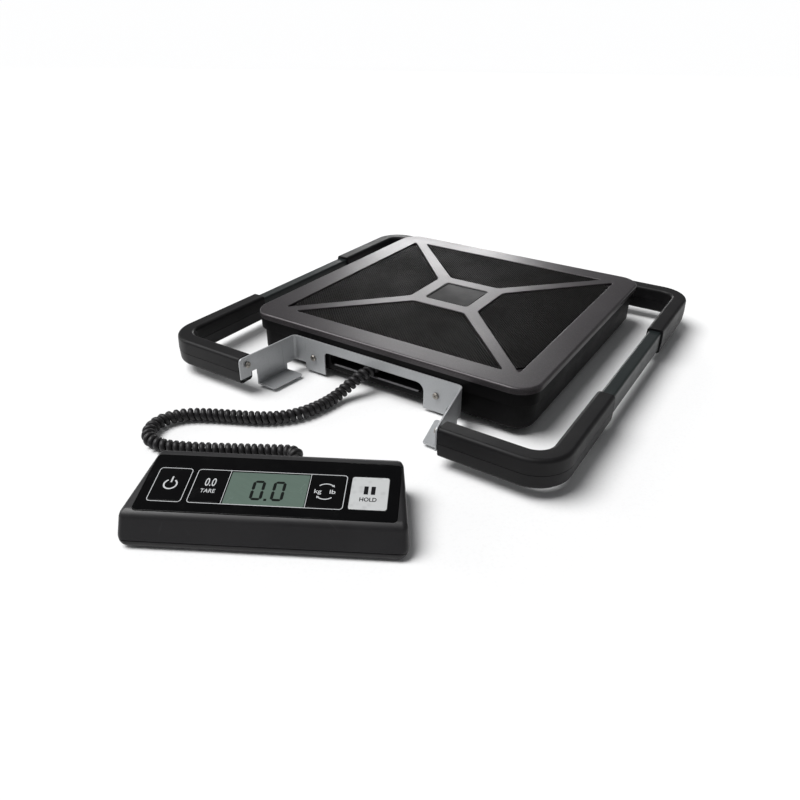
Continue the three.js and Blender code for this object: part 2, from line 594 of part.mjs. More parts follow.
const group = new THREE.Group();
group.add(scale);
export default group;
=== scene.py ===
"""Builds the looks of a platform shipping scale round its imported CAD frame."""

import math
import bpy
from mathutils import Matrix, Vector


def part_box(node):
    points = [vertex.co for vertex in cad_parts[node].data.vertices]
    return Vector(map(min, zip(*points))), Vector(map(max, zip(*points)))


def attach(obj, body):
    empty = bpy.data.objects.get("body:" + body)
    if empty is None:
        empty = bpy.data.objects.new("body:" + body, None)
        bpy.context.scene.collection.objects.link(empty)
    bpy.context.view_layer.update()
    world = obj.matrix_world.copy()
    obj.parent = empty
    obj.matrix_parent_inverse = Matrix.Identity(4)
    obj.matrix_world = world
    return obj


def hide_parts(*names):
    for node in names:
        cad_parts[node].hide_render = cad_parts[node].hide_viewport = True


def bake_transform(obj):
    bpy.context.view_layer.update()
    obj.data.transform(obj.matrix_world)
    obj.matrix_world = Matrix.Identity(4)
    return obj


bl_info = {
    "name": "Platform Shipping Scale",
    "version": (1, 0, 0),
    "blender": (4, 5, 0),
    "location": "View3D > Sidebar > Scale",
    "description": "Models and finishes a low weighing platform with a remote display",
    "category": "Add Mesh",
}

import bmesh
import bpy
from bpy.props import FloatProperty, FloatVectorProperty, IntProperty, PointerProperty
from mathutils import Matrix, Vector

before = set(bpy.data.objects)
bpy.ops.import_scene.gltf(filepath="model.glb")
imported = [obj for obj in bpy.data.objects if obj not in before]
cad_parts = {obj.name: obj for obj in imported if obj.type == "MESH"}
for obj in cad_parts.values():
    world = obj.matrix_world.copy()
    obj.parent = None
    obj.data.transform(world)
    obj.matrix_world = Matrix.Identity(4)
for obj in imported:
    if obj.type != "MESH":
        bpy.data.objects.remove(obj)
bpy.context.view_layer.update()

COVER_LOW, COVER_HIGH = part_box("platform_cover")
PAN_LOW, PAN_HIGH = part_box("base_pan")
PLATFORM_SIDE = COVER_HIGH.x - COVER_LOW.x
PLATFORM_Y = (COVER_LOW.y + COVER_HIGH.y) / 2
TOP = COVER_HIGH.z
CORNERS = {"front_left": (-1, -1), "front_right": (1, -1), "rear_left": (-1, 1), "rear_right": (1, 1)}
SIDES = {"left": -1, "right": 1}

# Where the platform and the display stand in the shared frame.
ON_PLATFORM = Matrix.Translation((0, PLATFORM_Y, 0))
DISPLAY_TURN = math.radians(29)
ON_DISPLAY = ON_PLATFORM @ Matrix.Translation((0.0364, -0.3348, 0)) @ Matrix.Rotation(DISPLAY_TURN, 4, "Z")
PANEL_SLOPE = math.atan2(8, 63)
PANEL_HEIGHT = 0.028
ON_PANEL = ON_DISPLAY @ Matrix.Translation((0, 0, PANEL_HEIGHT)) @ Matrix.Rotation(PANEL_SLOPE, 4, "X")

# The cord's centre line from the pocket to the display, in the platform's own frame, in millimetres.
CORD_ROUTE = [
    (-8, -135.3, 20.4), (-8.6, -143, 20.4), (-10.5, -152, 20.3), (-14.5, -162, 17), (-18.5, -173, 11.5),
    (-21.5, -185, 7.2), (-23, -198, 6.2), (-26, -213, 6.2), (-32, -228, 6.2), (-43, -241.5, 6.2),
    (-59, -252.5, 6.2), (-79, -262.5, 6.2), (-98, -272.5, 6.2), (-113, -283, 6.2), (-121.5, -297, 6.2),
    (-120.5, -312, 6.2), (-110, -323.5, 6.2), (-94, -325.5, 6.2), (-77, -319.5, 6.2), (-59, -310, 6.2),
    (-41, -299.5, 6.2), (-24, -289.5, 6.2), (-9, -281.5, 6.8), (4, -278.3, 9), (13, -282.3, 11.8),
    (18.05, -293.4, 13),
]

# Keys on the panel: left and right edge, in metres from the panel's middle.
KEY_LOW, KEY_HIGH = -0.0206, 0.0102
KEYS = {
    "power_key": (-0.0814, -0.0592), "tare_key": (-0.0535, -0.0316),
    "units_key": (0.0276, 0.0517), "hold_key": (0.0561, 0.0824),
}
LCD_EDGES = (-0.030, 0.026)
GAP = 0.0003


# ---------------------------------------------------------------- properties

def length(name, description, default, low=0.0):
    """A length that a user may change."""
    return FloatProperty(name=name, description=description, default=default, min=low, unit="LENGTH",
                         precision=5)


def colour(name, description, default):
    """A linear colour that a user may change."""
    return FloatVectorProperty(name=name, description=description, default=default, size=3, min=0, max=1,
                               subtype="COLOR")


class PlatformSizes(bpy.types.PropertyGroup):
    """Sizes of the weighing platform and its tread."""

    side: length("Side", "Side of the square weighing platform", PLATFORM_SIDE)
    corner: length("Corner radius", "Plan radius of the platform's corners", 0.022)
    rim_round: length("Rim rounding", "Rounding of the cover's upper rim", 0.0022)
    pocket_depth: length("Pocket depth", "Depth of the pockets that hold the tread mats", 0.0026)
    rib_round: length("Rib rounding", "Rounding of the ribs between the mats", 0.0010)
    stud_pitch: length("Stud pitch", "Distance between the studs of a tread mat", 0.0023, 0.001)
    stud_height: length("Stud height", "Height of a stud above its mat", 0.00055)
    badge_side: length("Badge side", "Side of the square centre badge", 0.049)


class HandleSizes(bpy.types.PropertyGroup):
    """Sizes of the carrying handles and brackets."""

    bend: length("Handle bend", "Centre line radius of a handle's corners", 0.0235)
    tube_width: length("Tube width", "Width of the handle tube", 0.0125)
    grip_width: length("Grip width", "Width of a grip at its seam", 0.017)
    grip_round: length("Grip rounding", "Rounding of a grip's long edges", 0.0032)
    sheet: length("Sheet", "Thickness of the brackets' steel sheet", 0.0015)
    sheet_bend: length("Sheet bend", "Outer radius of the brackets' bends", 0.005)


class CordSizes(bpy.types.PropertyGroup):
    """Sizes of the curly cord."""

    wire: length("Wire diameter", "Diameter of the cord's jacket", 0.0051)
    outside: length("Curl diameter", "Outside diameter of the curls", 0.012)
    pitch: length("Pitch", "Distance between neighbouring curls on the inside of a bend", 0.0053, 0.004)
    steps: IntProperty(name="Steps", description="Points along each turn of the curl", default=20, min=12,
                       max=32)


class DisplaySizes(bpy.types.PropertyGroup):
    """Sizes of the remote display."""

    edge_round: length("Case rounding", "Rounding of the case's long edges", 0.0045)
    end_round: length("End rounding", "Rounding under the case's ends", 0.008)
    wall: length("Wall", "Wall of the case", 0.002)
    print_height: length("Print height", "Thickness of the printed legends", 0.00006)
    line_width: length("Outline width", "Width of the printed outlines", 0.00048)


class Finishes(bpy.types.PropertyGroup):
    """Colours of the scale's finishes."""

    cover: colour("Cover paint", "Satin metallic paint of the platform's cover", (0.041, 0.036, 0.039))
    plastic: colour("Moulded plastic", "Black plastic of the pan and the display", (0.0055, 0.0052, 0.0058))
    rubber: colour("Rubber", "Black rubber of the mats and feet", (0.0040, 0.0037, 0.0036))
    steel: colour("Bracket paint", "Light grey powder coat of the brackets", (0.41, 0.42, 0.43))
    tube: colour("Tube paint", "Dark green-grey paint of the handle tubes", (0.0095, 0.0130, 0.0132))
    cord: colour("Cord", "Charcoal jacket of the curly cord", (0.0105, 0.0098, 0.0108))
    lcd: colour("Liquid crystal", "Grey-green ground of the display's figures", (0.104, 0.146, 0.122))
    silver: colour("Silver key", "Satin silver of the hold key", (0.58, 0.59, 0.59))
    legend: colour("Legend", "Printed legends and outlines", (0.56, 0.57, 0.58))


class ShippingScale(bpy.types.PropertyGroup):
    """Everything about the scale that a user may change."""

    platform: PointerProperty(type=PlatformSizes)
    handles: PointerProperty(type=HandleSizes)
    cord: PointerProperty(type=CordSizes)
    display: PointerProperty(type=DisplaySizes)
    finishes: PointerProperty(type=Finishes)


def settings():
    """The scale's own settings in this scene."""
    return bpy.context.scene.shipping_scale


# ---------------------------------------------------------------- modelling by hand

def object_mode():
    """Leaves edit mode and deselects everything."""
    if bpy.context.object is not None and bpy.context.object.mode != "OBJECT":
        bpy.ops.object.mode_set(mode="OBJECT")
    bpy.ops.object.select_all(action="DESELECT")


def work_on(piece):
    """Makes a piece the only selected and the active one."""
    object_mode()
    piece.select_set(True)
    bpy.context.view_layer.objects.active = piece


def edit(piece):
    """Opens a piece in edit mode with nothing selected."""
    work_on(piece)
    bpy.ops.object.mode_set(mode="EDIT")
    bpy.ops.mesh.select_all(action="DESELECT")


def done():
    """Closes edit mode."""
    bpy.ops.object.mode_set(mode="OBJECT")


def choose(kind, test):
    """In edit mode, selects only the faces, edges or vertices that pass the test, and says how many."""
    bpy.ops.mesh.select_mode(type=kind)
    bpy.ops.mesh.select_all(action="DESELECT")
    mesh = bmesh.from_edit_mesh(bpy.context.object.data)
    parts = {"FACE": mesh.faces, "EDGE": mesh.edges, "VERT": mesh.verts}[kind]
    chosen = [part for part in parts if test(part)]
    for part in chosen:
        part.select_set(True)
    mesh.select_flush_mode()
    bmesh.update_edit_mesh(bpy.context.object.data)
    return len(chosen)


def near(value, target, reach=2e-5):
    """True if a length is at the target."""
    return abs(value - target) < reach


def middle(edge):
    """An edge's middle point."""
    return (edge.verts[0].co + edge.verts[1].co) / 2


def run(edge):
    """An edge's direction."""
    return (edge.verts[1].co - edge.verts[0].co).normalized()


def lies_at(edge, axis, level):
    """True if both ends of an edge are at a level along an axis."""
    return all(near(getattr(vertex.co, axis), level) for vertex in edge.verts)


def steepest(edge):
    """How far up the steepest face beside an edge looks, 0 for an upright one."""
    return min(abs(face.normal.z) for face in edge.link_faces)


def bevel_chosen(width, segments=3, kind="EDGES"):
    """Rounds what is selected."""
    bpy.ops.mesh.bevel(offset=width, segments=segments, affect=kind, clamp_overlap=True)


def round_edges(test, width, segments=3):
    """Rounds the edges that pass the test."""
    choose("EDGE", test)
    bevel_chosen(width, segments)


def scale_chosen(x, y, z, about=(0, 0, 0)):
    """Scales what is selected about a point."""
    bpy.ops.transform.resize(value=(x, y, z), center_override=about)


def push(x=0.0, y=0.0, z=0.0):
    """Extrudes the selected faces by a step."""
    bpy.ops.mesh.extrude_region_move(TRANSFORM_OT_translate={"value": (x, y, z)})


def settle():
    """Applies the selected pieces' places, turns and scales to their meshes."""
    bpy.ops.object.transform_apply(location=True, rotation=True, scale=True)


def block(name, low, high):
    """A cube primitive at its size and place."""
    object_mode()
    low, high = Vector(low), Vector(high)
    bpy.ops.mesh.primitive_cube_add(size=1, location=(low + high) / 2)
    piece = bpy.context.object
    piece.name = name
    piece.scale = high - low
    settle()
    return piece


def rounded_block(name, low, high, corner, segments=6):
    """A block whose upright corners are rounded."""
    piece = block(name, low, high)
    edit(piece)
    round_edges(lambda e: abs(run(e).z) > 0.99, corner, segments)
    done()
    return piece


def rod(name, radius, low, high, sides=32):
    """A cylinder primitive along Z."""
    object_mode()
    bpy.ops.mesh.primitive_cylinder_add(vertices=sides, radius=radius, depth=high - low,
                                        location=(0, 0, (low + high) / 2))
    piece = bpy.context.object
    piece.name = name
    settle()
    return piece


def copy_of(piece, name):
    """A copy with its own mesh."""
    object_mode()
    twin = piece.copy()
    twin.data = piece.data.copy()
    twin.name = name
    bpy.context.scene.collection.objects.link(twin)
    return twin


def scrap(*pieces):
    """Removes helpers that are no longer needed."""
    for piece in pieces:
        bpy.data.objects.remove(piece, do_unlink=True)


def join_into(piece, *others):
    """Joins other pieces into the first one."""
    object_mode()
    for other in others:
        other.select_set(True)
    piece.select_set(True)
    bpy.context.view_layer.objects.active = piece
    bpy.ops.object.join()
    return piece


def boolean(piece, tools, operation="DIFFERENCE"):
    """Cuts tools out of a piece, or adds them to it, and removes the tools."""
    tool = tools[0] if len(tools) == 1 else join_into(*tools)
    work_on(piece)
    modifier = piece.modifiers.new("shape", "BOOLEAN")
    modifier.operation = operation
    modifier.solver = "EXACT"
    modifier.object = tool
    bpy.ops.object.modifier_apply(modifier=modifier.name)
    scrap(tool)
    return piece


def soften(piece, width, segments=2, angle=35):
    """Rounds every sharp edge a little with an applied Bevel modifier."""
    work_on(piece)
    modifier = piece.modifiers.new("edges", "BEVEL")
    modifier.width = width
    modifier.segments = segments
    modifier.limit_method = "ANGLE"
    modifier.angle_limit = math.radians(angle)
    modifier.use_clamp_overlap = True
    modifier.miter_outer = "MITER_ARC"
    bpy.ops.object.modifier_apply(modifier=modifier.name)
    return piece


def tidy_mesh(piece, reach=1e-6):
    """Merges doubles and dissolves what lies flat."""
    edit(piece)
    bpy.ops.mesh.select_all(action="SELECT")
    bpy.ops.mesh.remove_doubles(threshold=reach)
    bpy.ops.mesh.dissolve_limited(angle_limit=math.radians(0.5))
    done()
    return piece


def outward(piece):
    """Turns all faces outwards."""
    edit(piece)
    bpy.ops.mesh.select_all(action="SELECT")
    bpy.ops.mesh.remove_doubles(threshold=1e-7)
    bpy.ops.mesh.normals_make_consistent(inside=False)
    done()
    return piece


def smooth(piece, angle=35, flat=True):
    """Smooth shading up to an angle, with large faces kept flat."""
    work_on(piece)
    bpy.ops.object.shade_smooth_by_angle(angle=math.radians(angle))
    return flatten_shading(piece) if flat else piece


def flatten_shading(piece):
    """Keeps large faces flat between their rounded edges with an applied Weighted Normal modifier."""
    work_on(piece)
    modifier = piece.modifiers.new("shading", "WEIGHTED_NORMAL")
    modifier.keep_sharp = True
    modifier.weight = 100
    bpy.ops.object.modifier_apply(modifier=modifier.name)
    return piece


def place(piece, matrix):
    """Puts a piece where the matrix says, with its place in its mesh."""
    piece.matrix_world = matrix @ piece.matrix_world
    work_on(piece)
    settle()
    return piece


def coat(piece, *materials):
    """Gives a piece its materials."""
    piece.data.materials.clear()
    for material in materials:
        piece.data.materials.append(material)
    return piece


def install(piece, body, slot, *nodes):
    """Lets a finished piece stand for its CAD nodes and ride on a body."""
    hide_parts(*nodes)
    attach(piece, body)
    return piece


def complete(piece, angle, look, stand, body, slot, node):
    """Shades and coats a modelled piece, puts it where it stands and installs it."""
    smooth(piece, angle)
    coat(piece, finish(look))
    place(piece, stand)
    return install(piece, body, slot, node)


# ---------------------------------------------------------------- shader groups

def new_group(name, inputs, outputs):
    """An empty shader group with named inputs and outputs, and its two end nodes."""
    tree = bpy.data.node_groups.new(name, "ShaderNodeTree")
    for label, default in inputs:
        kind = "NodeSocketColor" if hasattr(default, "__len__") else "NodeSocketFloat"
        socket = tree.interface.new_socket(name=label, in_out="INPUT", socket_type=kind)
        socket.default_value = default
    for label, kind in outputs:
        tree.interface.new_socket(name=label, in_out="OUTPUT", socket_type=kind)
    return tree, tree.nodes.new("NodeGroupInput"), tree.nodes.new("NodeGroupOutput")


def calculate(tree, operation, first, second=None, third=None):
    """A Math node, each side a socket or a number."""
    node = tree.nodes.new("ShaderNodeMath")
    node.operation = operation
    for socket, value in zip(node.inputs, (first, second, third)):
        if isinstance(value, (int, float)):
            socket.default_value = value
        elif value is not None:
            tree.links.new(value, socket)
    return node.outputs[0]


def ramp(tree, value, low, high, low_out=0.0, high_out=1.0):
    """Maps a value smoothly from one range to another."""
    node = tree.nodes.new("ShaderNodeMapRange")
    node.interpolation_type = "SMOOTHSTEP"
    tree.links.new(value, node.inputs["Value"])
    for label, number in (("From Min", low), ("From Max", high), ("To Min", low_out), ("To Max", high_out)):
        node.inputs[label].default_value = number
    return node.outputs["Result"]


def noise(tree, scale, detail=3.0, roughness=0.55, vector=None):
    """A Noise Texture on Object coordinates, or on the given ones."""
    node = tree.nodes.new("ShaderNodeTexNoise")
    node.inputs["Detail"].default_value = detail
    node.inputs["Roughness"].default_value = roughness
    if isinstance(scale, (int, float)):
        node.inputs["Scale"].default_value = scale
    else:
        tree.links.new(scale, node.inputs["Scale"])
    tree.links.new(vector or object_coordinates(tree), node.inputs["Vector"])
    return node.outputs["Fac"]


def object_coordinates(tree, stretch=None, turn=(0.0, 0.0, 0.0)):
    """Object coordinates, stretched and turned where a pattern has a direction."""
    coordinates = tree.nodes.new("ShaderNodeTexCoord").outputs["Object"]
    if stretch is None:
        return coordinates
    mapping = tree.nodes.new("ShaderNodeMapping")
    mapping.inputs["Scale"].default_value = stretch
    mapping.inputs["Rotation"].default_value = turn
    tree.links.new(coordinates, mapping.inputs["Vector"])
    return mapping.outputs["Vector"]


def make_moulded_grain():
    """Fine spark texture of moulded plastic and powder coat: a height and a shade."""
    tree, start, end = new_group("Moulded Grain", [("Scale", 900.0), ("Depth", 1.0)],
                                 [("Height", "NodeSocketFloat"), ("Shade", "NodeSocketFloat")])
    fine = noise(tree, start.outputs["Scale"], 2.0, 0.6)
    cells = tree.nodes.new("ShaderNodeTexVoronoi")
    tree.links.new(calculate(tree, "MULTIPLY", start.outputs["Scale"], 1.3), cells.inputs["Scale"])
    tree.links.new(object_coordinates(tree), cells.inputs["Vector"])
    pits = ramp(tree, cells.outputs["Distance"], 0.0, 0.6)
    mixed = calculate(tree, "MULTIPLY_ADD", pits, 0.5, calculate(tree, "MULTIPLY", fine, 0.5))
    tree.links.new(calculate(tree, "MULTIPLY", mixed, start.outputs["Depth"]), end.inputs["Height"])
    tree.links.new(ramp(tree, mixed, 0.25, 0.75), end.inputs["Shade"])
    return tree


def make_cloudy_wear():
    """Broad, uneven handling marks: a soft mask and a mask of thin scratches."""
    tree, start, end = new_group("Cloudy Wear", [("Scale", 14.0), ("Amount", 1.0)],
                                 [("Clouds", "NodeSocketFloat"), ("Scratches", "NodeSocketFloat")])
    broad = ramp(tree, noise(tree, start.outputs["Scale"], 5.0, 0.62), 0.36, 0.68)
    tree.links.new(calculate(tree, "MULTIPLY", broad, start.outputs["Amount"]), end.inputs["Clouds"])
    long_way = object_coordinates(tree, (3.0, 95.0, 3.0), (0.0, 0.0, 0.5))
    cross_way = object_coordinates(tree, (80.0, 4.0, 4.0), (0.0, 0.0, -0.35))
    lines = calculate(tree, "MAXIMUM", ramp(tree, noise(tree, 9.0, 2.0, 0.5, long_way), 0.695, 0.73),
                      ramp(tree, noise(tree, 9.0, 2.0, 0.5, cross_way), 0.705, 0.74))
    tree.links.new(calculate(tree, "MULTIPLY", lines, start.outputs["Amount"]), end.inputs["Scratches"])
    return tree


def make_settled_dust():
    """Dust that settles on what faces up: a mask."""
    tree, start, end = new_group("Settled Dust", [("Amount", 0.2)], [("Mask", "NodeSocketFloat")])
    split = tree.nodes.new("ShaderNodeSeparateXYZ")
    tree.links.new(tree.nodes.new("ShaderNodeNewGeometry").outputs["Normal"], split.inputs["Vector"])
    upward = ramp(tree, split.outputs["Z"], 0.35, 0.95)
    specks = ramp(tree, noise(tree, 1400.0, 2.0, 0.6), 0.58, 0.72)
    film = ramp(tree, noise(tree, 22.0, 4.0, 0.6), 0.35, 0.75)
    both = calculate(tree, "MULTIPLY_ADD", specks, 0.6, calculate(tree, "MULTIPLY", film, 0.4))
    masked = calculate(tree, "MULTIPLY", upward, both)
    tree.links.new(calculate(tree, "MULTIPLY", masked, start.outputs["Amount"]), end.inputs["Mask"])
    return tree


def make_metal_flake():
    """Small flakes of a metallic paint, each with its own brightness."""
    tree, start, end = new_group("Metal Flake", [("Scale", 1800.0)], [("Flakes", "NodeSocketFloat")])
    cells = tree.nodes.new("ShaderNodeTexVoronoi")
    tree.links.new(start.outputs["Scale"], cells.inputs["Scale"])
    tree.links.new(object_coordinates(tree), cells.inputs["Vector"])
    split = tree.nodes.new("ShaderNodeSeparateColor")
    tree.links.new(cells.outputs["Color"], split.inputs["Color"])
    tree.links.new(ramp(tree, split.outputs["Red"], 0.55, 1.0), end.inputs["Flakes"])
    return tree


def make_brushing():
    """Long fine lines of rolled or machined metal: a height and a shade."""
    tree, start, end = new_group("Brushing", [("Depth", 1.0)],
                                 [("Height", "NodeSocketFloat"), ("Shade", "NodeSocketFloat")])
    along = object_coordinates(tree, (25.0, 1100.0, 1100.0))
    lines = noise(tree, 1.0, 4.0, 0.7, along)
    tree.links.new(calculate(tree, "MULTIPLY", lines, start.outputs["Depth"]), end.inputs["Height"])
    tree.links.new(ramp(tree, lines, 0.3, 0.7), end.inputs["Shade"])
    return tree


def make_finger_marks():
    """Smears on a gloss surface: a mask that dulls it."""
    tree, start, end = new_group("Finger Marks", [("Amount", 1.0)], [("Mask", "NodeSocketFloat")])
    broad = ramp(tree, noise(tree, 55.0, 3.0, 0.5), 0.5, 0.72)
    ridges = noise(tree, 1.0, 3.0, 0.6, object_coordinates(tree, (900.0, 260.0, 260.0), (0.0, 0.0, 0.8)))
    both = calculate(tree, "MULTIPLY", broad, ramp(tree, ridges, 0.35, 0.65, 0.4, 1.0))
    tree.links.new(calculate(tree, "MULTIPLY", both, start.outputs["Amount"]), end.inputs["Mask"])
    return tree


GROUP_MAKERS = {
    "Moulded Grain": make_moulded_grain, "Cloudy Wear": make_cloudy_wear, "Settled Dust": make_settled_dust,
    "Metal Flake": make_metal_flake, "Brushing": make_brushing, "Finger Marks": make_finger_marks,
}


# ---------------------------------------------------------------- finishes

class Finish:
    """A material under construction: its node tree, its Principled BSDF and the effects placed in it."""

    def __init__(self, name):
        self.material = bpy.data.materials.new(name)
        self.material.use_nodes = True
        self.tree = self.material.node_tree
        self.shader = self.tree.nodes["Principled BSDF"]
        self.height = None

    def effect(self, group, **values):
        """Places a shader group with its own values and returns its outputs."""
        node = self.tree.nodes.new("ShaderNodeGroup")
        node.node_tree = bpy.data.node_groups.get(group) or GROUP_MAKERS[group]()
        for label, value in values.items():
            node.inputs[label].default_value = value
        return node.outputs

    def mix(self, factor, first, second):
        """A mix of two colours, each a socket or three numbers."""
        node = self.tree.nodes.new("ShaderNodeMix")
        node.data_type = "RGBA"
        self.tree.links.new(factor, node.inputs["Factor"])
        for label, value in (("A", first), ("B", second)):
            socket = next(s for s in node.inputs if s.name == label and s.type == "RGBA")
            if isinstance(value, bpy.types.NodeSocket):
                self.tree.links.new(value, socket)
            else:
                socket.default_value = (*value, 1.0)
        return next(s for s in node.outputs if s.type == "RGBA")

    def set(self, **values):
        """Sets constants on the shader's own sockets."""
        for label, value in values.items():
            self.shader.inputs[label.replace("_", " ")].default_value = value

    def connect(self, label, socket):
        """Feeds a socket of the shader."""
        self.tree.links.new(socket, self.shader.inputs[label])

    def bump(self, height, distance, strength=1.0):
        """Adds a layer of relief, in metres."""
        node = self.tree.nodes.new("ShaderNodeBump")
        node.inputs["Distance"].default_value = distance
        node.inputs["Strength"].default_value = strength
        self.tree.links.new(height, node.inputs["Height"])
        if self.height is not None:
            self.tree.links.new(self.height, node.inputs["Normal"])
        self.height = node.outputs["Normal"]
        self.connect("Normal", self.height)

    def calculate(self, *arguments):
        """A Math node of this material."""
        return calculate(self.tree, *arguments)


def tinted(colour, share):
    """A lighter or darker shade of a colour."""
    return tuple(min(1.0, channel * share) for channel in colour)


DUST = (0.23, 0.22, 0.205)


def moulded(name, base, roughness, grain, depth, shine, dust, wear=1.0):
    """Moulded plastic or rubber with spark texture, handling marks and a little dust."""
    look = Finish(name)
    texture = look.effect("Moulded Grain", Scale=grain)
    marks = look.effect("Cloudy Wear", Scale=16.0, Amount=wear)
    dusty = look.effect("Settled Dust", Amount=dust)["Mask"]
    ground = look.mix(texture["Shade"], tinted(base, 0.82), tinted(base, 1.22))
    marked = look.mix(look.calculate("MULTIPLY", marks["Scratches"], 0.35), ground, tinted(base, 3.2))
    look.connect("Base Color", look.mix(dusty, marked, DUST))
    rough = look.calculate("MULTIPLY_ADD", marks["Clouds"], 0.12, roughness - 0.04)
    rough = look.calculate("MULTIPLY_ADD", texture["Shade"], 0.06, rough)
    look.connect("Roughness", look.calculate("MULTIPLY_ADD", dusty, 0.4, rough))
    look.set(Specular_IOR_Level=shine)
    look.bump(texture["Height"], depth, 0.7)
    return look


def rubber(name, roughness, grain, depth, shine, dust):
    """Black rubber in the scale's own shade."""
    base = tuple(settings().finishes.rubber)
    return moulded(name, base, roughness, grain, depth, shine, dust).material


def plastic(name, share, roughness, grain, depth, shine, dust=0.04):
    """Moulded plastic, so many times as light as the scale's own shade."""
    base = tinted(settings().finishes.plastic, share)
    return moulded(name, base, roughness, grain, depth, shine, dust).material


def cover_paint():
    """Satin metallic paint of the platform's cover."""
    base = tuple(settings().finishes.cover)
    look = Finish("cover_paint")
    texture = look.effect("Moulded Grain", Scale=1300.0)
    flakes = look.effect("Metal Flake", Scale=2300.0)["Flakes"]
    marks = look.effect("Cloudy Wear", Scale=9.0, Amount=1.0)
    dusty = look.effect("Settled Dust", Amount=0.04)["Mask"]
    ground = look.mix(flakes, tinted(base, 0.88), tinted(base, 1.7))
    clouded = look.mix(look.calculate("MULTIPLY", marks["Clouds"], 0.3), ground, tinted(base, 1.25))
    marked = look.mix(look.calculate("MULTIPLY", marks["Scratches"], 0.3), clouded, tinted(base, 2.6))
    look.connect("Base Color", look.mix(dusty, marked, DUST))
    rough = look.calculate("MULTIPLY_ADD", marks["Clouds"], 0.07, 0.37)
    look.connect("Roughness", look.calculate("MULTIPLY_ADD", dusty, 0.4, rough))
    look.set(Metallic=0.55, Specular_IOR_Level=0.5, Coat_Weight=0.18, Coat_Roughness=0.3)
    look.bump(texture["Height"], 0.000025, 0.5)
    return look.material


def bracket_paint():
    """Light grey powder coat of the sheet brackets."""
    base = tuple(settings().finishes.steel)
    look = Finish("bracket_paint")
    peel = look.effect("Moulded Grain", Scale=620.0)
    marks = look.effect("Cloudy Wear", Scale=20.0, Amount=1.0)
    ground = look.mix(peel["Shade"], tinted(base, 0.93), tinted(base, 1.06))
    clouded = look.mix(look.calculate("MULTIPLY", marks["Clouds"], 0.35), ground, tinted(base, 0.84))
    look.connect("Base Color", look.mix(look.calculate("MULTIPLY", marks["Scratches"], 0.5), clouded,
                                        tinted(base, 0.55)))
    look.connect("Roughness", look.calculate("MULTIPLY_ADD", marks["Clouds"], 0.1, 0.38))
    look.set(Metallic=0.35)
    look.bump(peel["Height"], 0.00004, 0.6)
    return look.material


def tube_paint():
    """Dark green-grey satin paint of the handle tubes."""
    base = tuple(settings().finishes.tube)
    look = Finish("tube_paint")
    peel = look.effect("Moulded Grain", Scale=500.0)
    marks = look.effect("Cloudy Wear", Scale=24.0, Amount=1.0)
    dusty = look.effect("Settled Dust", Amount=0.04)["Mask"]
    ground = look.mix(peel["Shade"], tinted(base, 0.9), tinted(base, 1.15))
    marked = look.mix(look.calculate("MULTIPLY", marks["Scratches"], 0.4), ground, tinted(base, 4.0))
    look.connect("Base Color", look.mix(dusty, marked, DUST))
    look.connect("Roughness", look.calculate("MULTIPLY_ADD", marks["Clouds"], 0.14, 0.36))
    look.set(Specular_IOR_Level=0.35)
    look.bump(peel["Height"], 0.00005, 0.6)
    return look.material


def bare_metal(name, base, roughness, brushed=1.0):
    """Machined, rolled or plated metal with fine lines."""
    look = Finish(name)
    lines = look.effect("Brushing", Depth=brushed)
    marks = look.effect("Cloudy Wear", Scale=30.0, Amount=1.0)
    ground = look.mix(lines["Shade"], tinted(base, 0.86), tinted(base, 1.1))
    clouds = look.calculate("MULTIPLY", marks["Clouds"], 0.4)
    look.connect("Base Color", look.mix(clouds, ground, tinted(base, 0.7)))
    rough = look.calculate("MULTIPLY_ADD", lines["Shade"], 0.12, roughness)
    look.connect("Roughness", look.calculate("MULTIPLY_ADD", marks["Clouds"], 0.15, rough))
    look.set(Metallic=1.0)
    look.bump(lines["Height"], 0.00002, 0.5 * brushed)
    return look.material


def gloss(name, base, roughness=0.07, marks=0.22, metallic=0.0, shine=0.14):
    """Polished or lacquered plastic with faint finger marks."""
    look = Finish(name)
    smears = look.effect("Finger Marks", Amount=1.0)["Mask"]
    orange_peel = look.effect("Moulded Grain", Scale=140.0)
    dusty = look.effect("Settled Dust", Amount=0.0 if metallic else 0.015)["Mask"]
    ground = look.mix(orange_peel["Shade"], tinted(base, 0.95), tinted(base, 1.08))
    look.connect("Base Color", look.mix(dusty, ground, DUST))
    rough = look.calculate("MULTIPLY_ADD", smears, marks, roughness)
    look.connect("Roughness", look.calculate("MULTIPLY_ADD", dusty, 0.3, rough))
    look.set(Metallic=metallic, Specular_IOR_Level=shine)
    look.bump(orange_peel["Height"], 0.00001, 0.25)
    return look.material


def cord_jacket():
    """Satin charcoal jacket of the curly cord, with grain, faint scratches and a little dust."""
    base = tuple(settings().finishes.cord)
    look = moulded("cord_jacket", base, 0.42, 1500.0, 0.00002, 0.35, 0.03, 0.8)
    look.set(Sheen_Weight=0.04, Sheen_Roughness=0.4)
    return look.material


def circuit_board():
    """Green solder mask with paler copper tracks under it."""
    look = Finish("solder_mask")
    tree = look.tree
    bricks = tree.nodes.new("ShaderNodeTexBrick")
    bricks.inputs["Scale"].default_value = 90.0
    bricks.inputs["Mortar Size"].default_value = 0.06
    bricks.inputs["Color1"].default_value = (0.012, 0.09, 0.035, 1)
    bricks.inputs["Color2"].default_value = (0.016, 0.11, 0.045, 1)
    bricks.inputs["Mortar"].default_value = (0.05, 0.19, 0.08, 1)
    tree.links.new(object_coordinates(tree), bricks.inputs["Vector"])
    smears = look.effect("Finger Marks", Amount=1.0)["Mask"]
    look.connect("Base Color", bricks.outputs["Color"])
    look.connect("Roughness", look.calculate("MULTIPLY_ADD", smears, 0.2, 0.24))
    look.bump(bricks.outputs["Fac"], 0.00004, 0.8)
    return look.material


